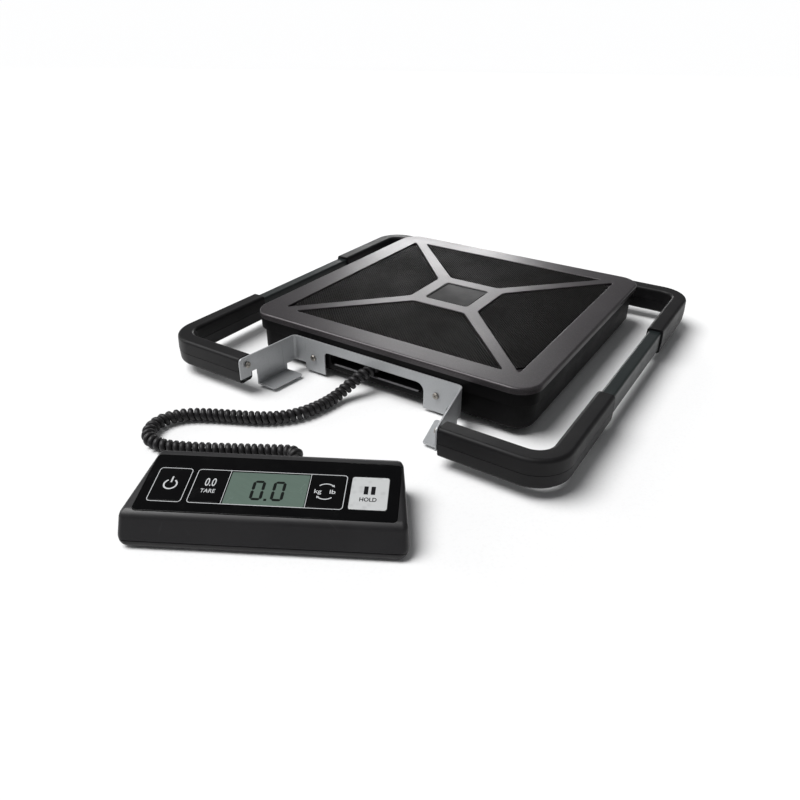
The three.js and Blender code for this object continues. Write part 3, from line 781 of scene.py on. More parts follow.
def liquid_crystal():
    """Grey-green reflector of the liquid crystal, with faint fibres, smears and lighter cloudy patches."""
    base = tuple(settings().finishes.lcd)
    look = Finish("liquid_crystal")
    fibres = look.effect("Brushing", Depth=0.3)
    smears = look.effect("Finger Marks", Amount=0.6)["Mask"]
    clouds = look.effect("Cloudy Wear", Scale=34.0, Amount=1.0)["Clouds"]
    ground = look.mix(fibres["Shade"], tinted(base, 0.96), tinted(base, 1.04))
    look.connect("Base Color", look.mix(look.calculate("MULTIPLY", clouds, 0.4), ground, tinted(base, 1.12)))
    look.connect("Roughness", look.calculate("MULTIPLY_ADD", smears, 0.16, 0.2))
    look.set(Specular_IOR_Level=0.3)
    look.bump(fibres["Height"], 0.000004, 0.2)
    return look.material


def printed(name, base, roughness=0.4):
    """Screen-printed ink with its slight mottle."""
    look = Finish(name)
    mottle = look.effect("Moulded Grain", Scale=2200.0)
    look.connect("Base Color", look.mix(mottle["Shade"], tinted(base, 0.9), base))
    look.connect("Roughness", look.calculate("MULTIPLY_ADD", mottle["Shade"], 0.1, roughness))
    look.set(Specular_IOR_Level=0.08)
    look.bump(mottle["Height"], 0.000008, 0.3)
    return look.material


def battery_sleeve():
    """Printed shrink sleeve of a cell, darker in cloudy patches."""
    look = Finish("battery_sleeve")
    smears = look.effect("Finger Marks", Amount=1.0)["Mask"]
    clouds = look.effect("Cloudy Wear", Scale=60.0, Amount=1.0)["Clouds"]
    look.connect("Base Color", look.mix(clouds, (0.30, 0.32, 0.08), (0.2, 0.22, 0.06)))
    look.connect("Roughness", look.calculate("MULTIPLY_ADD", smears, 0.2, 0.22))
    look.set(Metallic=0.4)
    return look.material


FINISH_MAKERS = {
    "cover_paint": cover_paint,
    "bracket_paint": bracket_paint,
    "tube_paint": tube_paint,
    "mat_rubber": lambda: rubber("mat_rubber", 0.5, 1500.0, 0.00002, 0.08, 0.02),
    "foot_rubber": lambda: rubber("foot_rubber", 0.62, 800.0, 0.00004, 0.2, 0.04),
    "relief_rubber": lambda: rubber("relief_rubber", 0.55, 1000.0, 0.00003, 0.25, 0.04),
    "pan_plastic": lambda: plastic("pan_plastic", 0.6, 0.46, 700.0, 0.00004, 0.09),
    # Pocket: the pan's black plastic made 2.6 times lighter, painted light inside the shaded recess behind
    # the bracket's window.
    "pocket_painted_light_plastic": lambda: plastic("pocket_painted_light_plastic", 2.6, 0.4, 700.0, 0.00004, 0.45),
    # Sill bead: the pan's black plastic made twelve times lighter and glossy, a painted highlight along the
    # pocket's lip.
    "sill_highlight_plastic": lambda: plastic("sill_highlight_plastic", 12.0, 0.26, 900.0, 0.00001, 1.0),
    "grip_plastic": lambda: plastic("grip_plastic", 0.9, 0.42, 900.0, 0.00003, 0.2),
    "case_plastic": lambda: plastic("case_plastic", 1.7, 0.36, 1200.0, 0.00002, 0.4),
    "badge_plastic": lambda: plastic("badge_plastic", 0.6, 0.4, 1500.0, 0.00001, 0.07, 0.02),
    "cord_jacket": cord_jacket,
    "panel_gloss": lambda: gloss("panel_gloss", (0.0015, 0.0015, 0.0018)),
    "key_gloss": lambda: gloss("key_gloss", (0.0022, 0.0022, 0.0025), 0.09),
    "key_silver": lambda: gloss("key_silver", tuple(settings().finishes.silver), 0.3, 0.04, 0.25, 0.5),
    "liquid_crystal": liquid_crystal,
    "segment_ink": lambda: printed("segment_ink", (0.004, 0.006, 0.005), 0.45),
    "legend_ink": lambda: printed("legend_ink", tuple(settings().finishes.legend)),
    "dark_ink": lambda: printed("dark_ink", (0.005, 0.005, 0.006), 0.5),
    "screw_plating": lambda: bare_metal("screw_plating", (0.33, 0.31, 0.28), 0.3, 0.4),
    "cell_alloy": lambda: bare_metal("cell_alloy", (0.66, 0.67, 0.68), 0.28),
    "spider_zinc": lambda: bare_metal("spider_zinc", (0.5, 0.52, 0.55), 0.34),
    "contact_nickel": lambda: bare_metal("contact_nickel", (0.62, 0.6, 0.56), 0.25, 0.3),
    "solder_mask": circuit_board,
    "battery_sleeve": battery_sleeve,
}


def finish(name):
    """One of the scale's finishes, made when it is first asked for."""
    return bpy.data.materials.get(name) or FINISH_MAKERS[name]()


# ---------------------------------------------------------------- stage and camera

class SCALE_OT_stage(bpy.types.Operator):
    """Make the floor, the studio light and the camera"""

    bl_idname = "scale.stage"
    bl_label = "Stage"

    def execute(self, context):
        self.make_camera(context)
        self.make_floor()
        self.make_room(context)
        self.make_lights(context)
        return {"FINISHED"}

    def make_camera(self, context):
        """A fixed camera in front of the display, to the right and above."""
        azimuth, elevation, roll = 0.566, 0.536, 0.009
        back = Vector((math.sin(azimuth) * math.cos(elevation), -math.cos(azimuth) * math.cos(elevation),
                       math.sin(elevation)))
        right = Vector((math.cos(azimuth), math.sin(azimuth), 0))
        up = back.cross(right)
        across = right * math.cos(roll) + up * math.sin(roll)
        upward = up * math.cos(roll) - right * math.sin(roll)
        data = bpy.data.cameras.new("camera")
        data.lens = 30.75
        data.sensor_width = 36
        data.clip_start = 0.01
        camera = bpy.data.objects.new("camera", data)
        axes = Matrix((across, upward, back)).transposed().to_4x4()
        stand = (0.31565, -0.60789, 0.32277)
        camera.matrix_world = ON_PLATFORM @ Matrix.Translation(stand) @ axes
        context.scene.collection.objects.link(camera)
        context.scene.camera = camera

    def make_floor(self):
        """A plain pale floor that reaches as far as the eye does."""
        object_mode()
        bpy.ops.mesh.primitive_plane_add(size=600, location=(0, 0, -0.0004))
        floor = bpy.context.object
        floor.name = "floor"
        settle()
        look = Finish("floor_paper")
        fibre = look.effect("Moulded Grain", Scale=260.0)
        look.connect("Base Color", look.mix(fibre["Shade"], (0.87, 0.87, 0.87), (0.89, 0.89, 0.89)))
        look.set(Roughness=0.9, Specular_IOR_Level=0.0)
        coat(floor, look.material)

    def make_room(self, context):
        """A dim, even room that looks as pale as the floor where nothing stands in front of it."""
        world = bpy.data.worlds.new("room")
        world.use_nodes = True
        tree = world.node_tree
        dim = tree.nodes["Background"]
        dim.inputs["Color"].default_value = (0.97, 0.98, 1.0, 1)
        dim.inputs["Strength"].default_value = 0.17
        pale = tree.nodes.new("ShaderNodeBackground")
        pale.inputs["Color"].default_value = (1, 1, 1, 1)
        mixed = tree.nodes.new("ShaderNodeMixShader")
        tree.links.new(tree.nodes.new("ShaderNodeLightPath").outputs["Is Camera Ray"], mixed.inputs["Fac"])
        tree.links.new(dim.outputs["Background"], mixed.inputs[1])
        tree.links.new(pale.outputs["Background"], mixed.inputs[2])
        tree.links.new(mixed.outputs["Shader"], tree.nodes["World Output"].inputs["Surface"])
        context.scene.world = world

    def make_lights(self, context):
        """A broad sun-like key and two soft boxes."""
        context.scene.view_settings.view_transform = "Standard"
        context.scene.view_settings.look = "None"
        self.lamp(context, "key", "SUN", (-1.2, -0.7, 2.6), (0, 0, 0), 3.4)
        bpy.data.lights["key"].angle = math.radians(40)
        for name, place_at, aim_at, width, depth, power in (
            ("back_box", (-1.36, 2.5, 0.8), (0, 0.1, 0.03), 0.8, 0.5, 15),
            ("left_box", (-1.9, -0.7, 0.7), (0, -0.1, 0.03), 1.0, 0.5, 5),
        ):
            lamp = self.lamp(context, name, "AREA", place_at, aim_at, power)
            lamp.data.shape = "RECTANGLE"
            lamp.data.size = width
            lamp.data.size_y = depth

    def lamp(self, context, name, kind, place_at, aim_at, power):
        """A light that looks at a point."""
        data = bpy.data.lights.new(name, kind)
        data.energy = power
        lamp = bpy.data.objects.new(name, data)
        lamp.location = place_at
        lamp.rotation_euler = (Vector(place_at) - Vector(aim_at)).to_track_quat("Z", "Y").to_euler()
        context.scene.collection.objects.link(lamp)
        return lamp


# ---------------------------------------------------------------- cord

def spline_through(points, steps):
    """A centripetal Catmull-Rom curve through the points, with so many steps from each to the next."""
    ends = [points[0] * 2 - points[1], *points, points[-1] * 2 - points[-2]]
    made = []
    for i in range(len(points) - 1):
        p0, p1, p2, p3 = ends[i:i + 4]
        t1 = (p1 - p0).length ** 0.5
        t2 = t1 + (p2 - p1).length ** 0.5
        t3 = t2 + (p3 - p2).length ** 0.5
        for k in range(steps + (i == len(points) - 2)):
            t = t1 + (t2 - t1) * k / steps
            a1 = p0 * ((t1 - t) / t1) + p1 * (t / t1)
            a2 = p1 * ((t2 - t) / (t2 - t1)) + p2 * ((t - t1) / (t2 - t1))
            a3 = p2 * ((t3 - t) / (t3 - t2)) + p3 * ((t - t2) / (t3 - t2))
            b1 = a1 * ((t2 - t) / t2) + a2 * (t / t2)
            b2 = a2 * ((t3 - t) / (t3 - t1)) + a3 * ((t - t1) / (t3 - t1))
            made.append(b1 * ((t2 - t) / (t2 - t1)) + b2 * ((t - t1) / (t2 - t1)))
    return made


def curl_round(line, radius, pitch, steps):
    """The points of a helix round a line, opening out from a straight tail at both ends."""
    fine = spline_through(line, 3)
    lengths = [0.0]
    for a, b in zip(fine, fine[1:]):
        lengths.append(lengths[-1] + (b - a).length)
    total = lengths[-1]
    last = len(fine) - 1
    tangents = [(fine[min(i + 1, last)] - fine[max(i - 1, 0)]).normalized() for i in range(len(fine))]
    side = tangents[0].cross(Vector((0, 0, 1))).normalized()
    sides = []
    for tangent in tangents:
        side = (side - tangent * side.dot(tangent)).normalized()
        sides.append(side)
    points, phase, at, step = [], 0.0, 0, pitch / steps
    tail, opening, bend_reach, travelled = 0.003, 0.007, 12, 0.0
    while travelled < total:
        while lengths[at + 1] < travelled and at < last - 1:
            at += 1
        share = (travelled - lengths[at]) / max(lengths[at + 1] - lengths[at], 1e-9)
        centre = fine[at].lerp(fine[at + 1], share)
        tangent = tangents[at].lerp(tangents[at + 1], share).normalized()
        side = sides[at].lerp(sides[at + 1], share).normalized()
        low, high = max(at - bend_reach, 0), min(at + bend_reach, last)
        bend = tangents[low].angle(tangents[high]) / max(lengths[high] - lengths[low], 1e-6)
        end = min(travelled, total - travelled)
        swing = max(0.0, min(1.0, (end - tail) / opening))
        spread = radius * swing * swing * (3 - 2 * swing)
        points.append(centre + (side * math.cos(phase) + tangent.cross(side) * math.sin(phase)) * spread)
        phase += 2 * math.pi / steps
        travelled += step / max(0.5, 1 - bend * radius)
    points.append(fine[-1])
    return points


class SCALE_OT_cord(bpy.types.Operator):
    """Make the curly cord from the pocket to the display"""

    bl_idname = "scale.cord"
    bl_label = "Curly cord"

    def execute(self, context):
        sizes = settings().cord
        route = [ON_PLATFORM @ (Vector(p) * 0.001) for p in CORD_ROUTE]
        radius = (sizes.outside - sizes.wire) / 2
        points = curl_round(spline_through(route, 12), radius, sizes.pitch, sizes.steps)
        data = bpy.data.curves.new("curly_cord_wire", "CURVE")
        data.dimensions = "3D"
        data.bevel_depth = sizes.wire / 2
        data.bevel_resolution = 2
        data.use_fill_caps = True
        spline = data.splines.new("POLY")
        spline.points.add(len(points) - 1)
        for knot, point in zip(spline.points, points):
            knot.co = (*point, 1)
        cord = bpy.data.objects.new("curly_cord_wire", data)
        context.scene.collection.objects.link(cord)
        work_on(cord)
        bpy.ops.object.convert(target="MESH")
        cord = bpy.context.object
        smooth(cord, 60, False)
        coat(cord, finish("cord_jacket"))
        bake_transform(cord)
        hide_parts("curly_cord")
        return {"FINISHED"}


# ---------------------------------------------------------------- platform

MAT_EDGE, MAT_INNER, MAT_INNER_HALF = 0.128, 0.040, 0.029
MAT_ROUND = 0.003
MAT_THICK = 0.0017
LEAST_STUDS = 500
BADGE_ROUND = 0.0034
MATS = {"front": (0.1135, 0), "right": (0.1255, 1), "rear": (0.1135, 2), "left": (0.1255, 3)}


def mat_corners(half, grow=0.0):
    """The four corners of the front mat or its pocket, anticlockwise from the front left."""
    outer, inner = MAT_EDGE + grow, MAT_INNER - grow
    return [Vector((-half - 2 * grow, -outer)), Vector((half + 2 * grow, -outer)),
            Vector((MAT_INNER_HALF + grow / 2, -inner)), Vector((-MAT_INNER_HALF - grow / 2, -inner))]


def quarter_turns(piece, turns):
    """Turns a piece about the platform's middle."""
    return place(piece, Matrix.Rotation(turns * math.pi / 2, 4, "Z"))


def pocket_tool(name, half, turns, low, high):
    """A solid that cuts a mat's pocket into the cover."""
    corners = mat_corners(half, GAP)
    tool = block(name, (corners[0].x, corners[0].y, low), (corners[1].x, corners[2].y, high))
    edit(tool)
    choose("VERT", lambda v: near(v.co.y, corners[2].y))
    scale_chosen(corners[2].x / corners[1].x, 1, 1, (0, corners[2].y, 0))
    round_edges(lambda e: abs(run(e).z) > 0.99, MAT_ROUND + GAP, 6)
    done()
    return quarter_turns(tool, turns)


class SCALE_OT_cover(bpy.types.Operator):
    """Make the platform's painted cover with its ribs and pockets"""

    bl_idname = "scale.cover"
    bl_label = "Platform cover"

    def execute(self, context):
        sizes = settings().platform
        half, rim_wall, skin = sizes.side / 2, 0.0012, 0.004
        low = COVER_LOW.z
        cover = rounded_block("cover", (-half, -half, low), (half, half, TOP), sizes.corner, 14)
        edit(cover)
        choose("FACE", lambda f: f.normal.z < -0.9)
        bpy.ops.mesh.inset(thickness=rim_wall)
        push(z=TOP - skin - low)
        round_edges(lambda e: near(middle(e).z, TOP), sizes.rim_round, 5)
        done()
        tools = [pocket_tool(f"pocket_{side}", length_, turns, TOP - sizes.pocket_depth, TOP + 0.002)
                 for side, (length_, turns) in MATS.items()]
        badge = sizes.badge_side / 2 + GAP
        tools.append(rounded_block("badge_pocket", (-badge, -badge, TOP - 0.0018),
                                   (badge, badge, TOP + 0.002), BADGE_ROUND + GAP, 6))
        boolean(cover, tools)
        tidy_mesh(cover)
        edit(cover)
        round_edges(lambda e: lies_at(e, "z", TOP) and steepest(e) < 0.2, sizes.rib_round)
        done()
        complete(cover, 40, "cover_paint", ON_PLATFORM, "platform", "cover", "platform_cover")
        return {"FINISHED"}


class SCALE_OT_tread_mats(bpy.types.Operator):
    """Make the four studded tread mats"""

    bl_idname = "scale.tread_mats"
    bl_label = "Tread mats"

    def execute(self, context):
        for side, (half, turns) in MATS.items():
            self.make_mat(side, half, turns)
        return {"FINISHED"}

    def make_mat(self, side, half, turns):
        """A mat cut from a slanted grid, with a plain border and a stud in each square."""
        sizes = settings().platform
        base = TOP - sizes.pocket_depth + GAP
        top = base + MAT_THICK - sizes.stud_height
        reach = 0.22
        count = round(reach / sizes.stud_pitch)
        object_mode()
        bpy.ops.mesh.primitive_grid_add(x_subdivisions=count, y_subdivisions=count, size=reach,
                                        location=(0, -0.084, top), rotation=(0, 0, math.pi / 4))
        mat = bpy.context.object
        mat.name = f"tread_{side}"
        settle()
        edit(mat)
        self.trim(mat_corners(half))
        bpy.ops.mesh.select_all(action="SELECT")
        bpy.ops.mesh.remove_doubles(threshold=0.00004)
        bpy.ops.mesh.inset(thickness=0.0016, use_boundary=True)
        squares = choose("FACE", lambda f: len(f.verts) == 4 and f.calc_area() > 0.5 * sizes.stud_pitch ** 2
                         and max(e.calc_length() for e in f.edges) < 1.3 * sizes.stud_pitch)
        if squares < LEAST_STUDS:
            raise RuntimeError(f"the {side} mat has only {squares} studs")
        bpy.ops.mesh.inset(thickness=sizes.stud_pitch * 0.17, depth=0.0, use_individual=True)
        bpy.ops.mesh.inset(thickness=sizes.stud_pitch * 0.13, depth=sizes.stud_height, use_individual=True)
        bpy.ops.mesh.select_all(action="SELECT")
        bpy.ops.mesh.region_to_loop()
        bpy.ops.mesh.extrude_region_move(TRANSFORM_OT_translate={"value": (0, 0, base - top)})
        bpy.ops.mesh.edge_face_add()
        done()
        outward(mat)
        smooth(mat, 30)
        coat(mat, finish("mat_rubber"))
        quarter_turns(mat, turns)
        place(mat, ON_PLATFORM)
        install(mat, "platform", "mat", f"tread_mat_{side}")

    def trim(self, corners):
        """Bisects the grid along the mat's outline, its corners rounded."""
        for i, here in enumerate(corners):
            ahead = (corners[(i + 1) % 4] - here).normalized()
            behind = (here - corners[i - 1]).normalized()
            normal = Vector((ahead.y, -ahead.x))
            self.slice_off(here, normal)
            before = Vector((behind.y, -behind.x))
            centre = here - (normal + before) * (MAT_ROUND / (1 + normal.dot(before)))
            for share in (0.2, 0.4, 0.6, 0.8):
                between = before.lerp(normal, share).normalized()
                self.slice_off(centre + between * MAT_ROUND, between)

    def slice_off(self, point, normal):
        """Cuts away what lies beyond a line."""
        bpy.ops.mesh.select_all(action="SELECT")
        bpy.ops.mesh.bisect(plane_co=(point.x, point.y, 0), plane_no=(normal.x, normal.y, 0),
                            clear_outer=True)


class SCALE_OT_badge(bpy.types.Operator):
    """Make the plain centre badge with its raised frame"""

    bl_idname = "scale.badge"
    bl_label = "Centre badge"

    def execute(self, context):
        half = settings().platform.badge_side / 2
        top = TOP - 0.0002
        badge = rounded_block("badge", (-half, -half, TOP - 0.0015), (half, half, top), BADGE_ROUND, 6)
        edit(badge)
        choose("FACE", lambda f: f.normal.z > 0.9)
        bpy.ops.mesh.inset(thickness=0.0012)
        bpy.ops.mesh.inset(thickness=0.0005, depth=-0.0004)
        round_edges(lambda e: near(middle(e).z, top), 0.00025, 2)
        done()
        complete(badge, 35, "badge_plastic", ON_PLATFORM, "platform", "badge", "centre_badge")
        return {"FINISHED"}


# ---------------------------------------------------------------- base

POCKET = {"left": -0.056, "right": 0.047, "low": 0.014, "high": 0.030, "depth": 0.022}
PAN_HALF, BAND_HALF, PAN_STEP = 0.1485, 0.151, 0.031
PAN_WALL, PAN_CORNER, PAN_FOOT_ROUND = 0.0025, 0.019, 0.003
SLOT_CORNER, SLOT_LIP = 0.004, 0.0011


class SCALE_OT_base_pan(bpy.types.Operator):
    """Make the base pan and the cord pocket behind the bracket's window"""

    bl_idname = "scale.base_pan"
    bl_label = "Base pan"

    def execute(self, context):
        self.make_pan()
        self.make_pocket()
        return {"FINISHED"}

    def make_pan(self):
        """A deep tray: rounded foot, inset skirt and a wider band under the cover."""
        low, high = PAN_LOW.z, PAN_HIGH.z
        corner, opposite = (-PAN_HALF, -PAN_HALF, low), (PAN_HALF, PAN_HALF, PAN_STEP)
        pan = rounded_block("pan", corner, opposite, PAN_CORNER, 12)
        edit(pan)
        choose("FACE", lambda f: f.normal.z > 0.9)
        push()
        grow = BAND_HALF / PAN_HALF
        scale_chosen(grow, grow, 1)
        push(z=high - PAN_STEP)
        bpy.ops.mesh.inset(thickness=PAN_WALL + BAND_HALF - PAN_HALF)
        push(z=low + PAN_WALL - high)
        round_edges(lambda e: near(middle(e).z, low), PAN_FOOT_ROUND, 5)
        round_edges(lambda e: near(middle(e).z, PAN_STEP) and abs(run(e).z) < 0.1, 0.0005, 2)
        done()
        slot = block("pan_slot", (POCKET["left"], -0.156, POCKET["low"]),
                     (POCKET["right"], -0.140, POCKET["high"]))
        edit(slot)
        round_edges(lambda e: abs(run(e).y) > 0.9 and near(middle(e).z, POCKET["low"]), SLOT_CORNER, 6)
        done()
        boolean(pan, [slot])
        edit(pan)
        choose("EDGE", lambda e: lies_at(e, "y", -PAN_HALF)
               and POCKET["low"] - 0.0002 < middle(e).z < POCKET["high"] - 0.0002
               and POCKET["left"] - 0.0002 < middle(e).x < POCKET["right"] + 0.0002)
        bevel_chosen(SLOT_LIP, 4)
        done()
        complete(pan, 38, "pan_plastic", ON_PLATFORM, "base", "pan", "base_pan")

    def make_pocket(self):
        """The moulded pocket in plastic lightened as painted light, its sill bead coloured light and glossy
        as a painted highlight, and the hole for the strain relief.
        """
        front, wall = -0.1457, 0.002
        back = front + POCKET["depth"]
        pocket = block("pocket", (POCKET["left"] - wall, front, POCKET["low"] - wall),
                       (POCKET["right"] + wall, back, POCKET["high"] + wall))
        edit(pocket)
        choose("FACE", lambda f: f.normal.y < -0.9)
        bpy.ops.mesh.inset(thickness=wall)
        push(y=POCKET["depth"] - wall)
        choose("EDGE", lambda e: near(middle(e).y, back - wall) or (abs(run(e).y) > 0.9 and near(
            abs(middle(e).y - (front + back - wall) / 2), 0) and middle(e).z < POCKET["high"]))
        bevel_chosen(0.0015, 3)
        done()
        hole = rod("relief_hole", 0.0045, -0.006, 0.006, 24)
        place(hole, Matrix.Translation((-0.008, back, 0.0204)) @ Matrix.Rotation(math.pi / 2, 4, "X"))
        boolean(pocket, [hole])
        soften(pocket, 0.0003)
        smooth(pocket)
        # The pocket's lighter plastic paints light into its shaded recess.
        coat(pocket, finish("pocket_painted_light_plastic"))
        reach = (POCKET["right"] - POCKET["left"]) / 2 - 0.0042
        bead = rod("sill_bead", 0.0011, -reach, reach, 20)
        smooth(bead)
        # The bead's light colour paints the highlight along the pocket's lower lip.
        coat(bead, finish("sill_highlight_plastic"))
        sill = ((POCKET["left"] + POCKET["right"]) / 2, -0.1470, POCKET["low"] + 0.0002)
        place(bead, Matrix.Translation(sill) @ Matrix.Rotation(math.pi / 2, 4, "Y"))
        join_into(pocket, bead)
        place(pocket, ON_PLATFORM)
        install(pocket, "base", "pan", "cord_pocket")


class SCALE_OT_feet(bpy.types.Operator):
    """Make the four rubber feet and the four pads of the display"""

    bl_idname = "scale.feet"
    bl_label = "Feet and pads"

    def execute(self, context):
        for corner in CORNERS:
            self.make_foot(f"rubber_foot_{corner}", f"foot_{corner}", "base", 0.0016, 0.0045)
            self.make_foot(f"rubber_pad_{corner}", f"display_pad_{corner}", "display", 0.0003, 0.002)
        return {"FINISHED"}

    def make_foot(self, name, node, body, edge, ring):
        """A round foot with a softened edge and a ring groove underneath."""
        low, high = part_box(node)
        centre = (low + high) / 2
        foot = rod(name, (high.x - low.x) / 2, 0, high.z - low.z, 40)
        edit(foot)
        if body == "base":
            choose("VERT", lambda v: v.co.z > 0.001)
            scale_chosen(0.84, 0.84, 1)
        choose("FACE", lambda f: f.normal.z < -0.9)
        bpy.ops.mesh.inset(thickness=ring)
        bpy.ops.mesh.inset(thickness=ring * 0.2, depth=-(high.z - low.z) * 0.12)
        choose("EDGE", lambda e: near(middle(e).z, 0) and len(e.link_faces) == 2
               and steepest(e) < 0.9)
        bevel_chosen(edge, 3)
        done()
        complete(foot, 35, "foot_rubber", Matrix.Translation((centre.x, centre.y, low.z)), body, "foot", node)


# ---------------------------------------------------------------- brackets and screws

ARM_END_X = 0.10425
BRACKET_Y = 0.1513
BRACKET_LOW, BRACKET_HIGH = 0.0025, 0.0365
FRONT_ARMS = {"left": -0.0975, "right": 0.0895, "reach": 0.222}
REAR_ARMS = {"left": -0.0975, "right": 0.0975, "reach": 0.183}
WINDOW = {"left": -0.060, "right": 0.051, "top": 0.027, "left_round": 0.004, "right_round": 0.008}
TAB = {"reach": 0.020, "front": -0.202, "rear": -0.165}
UNDER_BENDS = ((-0.112, -0.084), (0.075, 0.112))
ACROSS_ARMS = ((-0.112, -0.090), (0.090, 0.112))
PLATE_SCREWS = [(-0.0735, 0.0175), (0.064, 0.019)]
REAR_SCREWS = [(-0.070, 0.018), (0.070, 0.018)]
ARM_SCREW_Z = 0.0285
PLATE_HOLE, ARM_HOLE = 0.002, 0.0021
SCREW_HEAD, SCREW_LENGTH = 0.0018, 0.0078
HANDLE_FRONT, HANDLE_REAR = -0.2135, 0.1745


def folded_sheet(name, arms, low):
    """A bracket's sheet: a plate across the pan and two arms folded forwards, with the sheet's wall."""
    sizes = settings().handles
    object_mode()
    left, right, reach = arms["left"], arms["right"], arms["reach"]
    bpy.ops.mesh.primitive_plane_add(size=1, rotation=(math.pi / 2, 0, 0))
    sheet = bpy.context.object
    sheet.name = name
    sheet.scale = (right - left, BRACKET_HIGH - low, 1)
    sheet.location = ((left + right) / 2, -BRACKET_Y, (BRACKET_HIGH + low) / 2)
    settle()
    edit(sheet)
    for edge, end in ((left, -ARM_END_X), (right, ARM_END_X)):
        choose("EDGE", lambda e: near(middle(e).x, edge) and near(middle(e).y, -BRACKET_Y))
        push(end - edge, BRACKET_Y - reach)
    round_edges(lambda e: near(middle(e).y, -BRACKET_Y) and abs(run(e).z) > 0.9, sizes.sheet_bend * 0.9, 7)
    choose("VERT", lambda v: near(v.co.y, -reach) and near(v.co.z, BRACKET_HIGH))
    bevel_chosen(0.004, 5, "VERTICES")
    bpy.ops.mesh.select_all(action="SELECT")
    bpy.ops.mesh.normals_make_consistent(inside=False)
    done()
    front_faces = [p for p in sheet.data.polygons if near(p.center.y, -BRACKET_Y, 1e-4)]
    thicken(sheet, sizes.sheet, 1 if front_faces[0].normal.y < 0 else -1)
    return sheet


def thicken(sheet, thickness, offset):
    """Gives a sheet its wall on one side."""
    work_on(sheet)
    modifier = sheet.modifiers.new("wall", "SOLIDIFY")
    modifier.thickness = thickness
    modifier.offset = offset
    modifier.use_even_offset = True
    bpy.ops.object.modifier_apply(modifier=modifier.name)


def bore(name, radius, centre, axis, reach=0.006):
    """A round tool that drills a hole along X or Y."""
    tool = rod(name, radius, -reach, reach, 24)
    turn = Matrix.Rotation(math.pi / 2, 4, "X" if axis == "Y" else "Y")
    return place(tool, Matrix.Translation(centre) @ turn)


class SCALE_OT_brackets(bpy.types.Operator):
    """Make the front and rear sheet brackets"""

    bl_idname = "scale.brackets"
    bl_label = "Sheet brackets"

    def execute(self, context):
        self.make_front()
        self.make_rear()
        return {"FINISHED"}

    def make_front(self):
        """The front bracket: window, folded tabs, reliefs under the bends, notches and screw holes."""
        sheet = settings().handles.sheet
        bracket = folded_sheet("bracket_front", FRONT_ARMS, BRACKET_LOW)
        window = block("window", (WINDOW["left"], -0.157, -0.005), (WINDOW["right"], -0.147, WINDOW["top"]))
        edit(window)
        for edge, radius in (("left", "left_round"), ("right", "right_round")):
            choose("EDGE", lambda e: near(middle(e).z, WINDOW["top"]) and near(middle(e).x, WINDOW[edge]))
            bevel_chosen(WINDOW[radius], 6)
        done()
        tools = [window]
        for x0, x1 in UNDER_BENDS:
            tools.append(block("relief", (x0, TAB["rear"], 0), (x1, -0.140, 0.010)))
        for x0, x1 in ACROSS_ARMS:
            tools.append(block("low", (x0, -0.230, 0), (x1, -0.20949, 0.0155)))
            tools.append(block("notch", (x0, -0.2095, 0), (x1, TAB["front"], 0.0195)))
        for x, z in PLATE_SCREWS:
            tools.append(bore("hole", PLATE_HOLE, (x, -BRACKET_Y, z), "Y"))
        for side in SIDES.values():
            arm = (side * (ARM_END_X - 0.001), HANDLE_FRONT, ARM_SCREW_Z)
            tools.append(bore("hole", ARM_HOLE, arm, "X"))
        for tool in tools:
            boolean(bracket, [tool])
        for side in SIDES.values():
            boolean(bracket, [self.make_tab(side, sheet)], "UNION")
        tidy_mesh(bracket, 2e-6)
        soften(bracket, 0.0003, 2, 50)
        complete(bracket, 32, "bracket_paint", ON_PLATFORM, "base", "bracket", "front_bracket")

    def make_tab(self, side, sheet):
        """A tab folded in from an arm's lower edge, its free corners rounded."""
        root = abs(FRONT_ARMS["right" if side > 0 else "left"])
        lean = (ARM_END_X - root) / (FRONT_ARMS["reach"] - BRACKET_Y)

        def inner(y):
            return ARM_END_X - sheet / 2 - (FRONT_ARMS["reach"] + y) * lean

        front, rear = TAB["front"], TAB["rear"]
        tab = block("tab", (-TAB["reach"], front, BRACKET_LOW), (0, rear, BRACKET_LOW + sheet))
        edit(tab)
        round_edges(lambda e: abs(run(e).z) > 0.9 and near(middle(e).x, -TAB["reach"]), 0.0025, 4)
        choose("VERT", lambda v: v.co.y < (front + rear) / 2)
        bpy.ops.transform.translate(value=(inner(front), 0, 0))
        choose("VERT", lambda v: v.co.y > (front + rear) / 2)
        bpy.ops.transform.translate(value=(inner(rear), 0, 0))
        done()
        if side < 0:
            tab.scale.x = -1
            work_on(tab)
            settle()
            outward(tab)
        return tab

    def make_rear(self):
        """The rear bracket, shorter and without tabs."""
        bracket = folded_sheet("bracket_rear", REAR_ARMS, 0.010)
        tools = [bore("hole", PLATE_HOLE, (-x, -BRACKET_Y, z), "Y") for x, z in REAR_SCREWS]
        tools += [bore("hole", ARM_HOLE, (side * (ARM_END_X - 0.001), -HANDLE_REAR, ARM_SCREW_Z), "X")
                  for side in SIDES.values()]
        for tool in tools:
            boolean(bracket, [tool])
        tidy_mesh(bracket, 2e-6)
        soften(bracket, 0.0003, 2, 50)
        smooth(bracket, 32)
        coat(bracket, finish("bracket_paint"))
        place(bracket, Matrix.Rotation(math.pi, 4, "Z"))
        place(bracket, ON_PLATFORM)
        install(bracket, "base", "bracket", "rear_bracket")


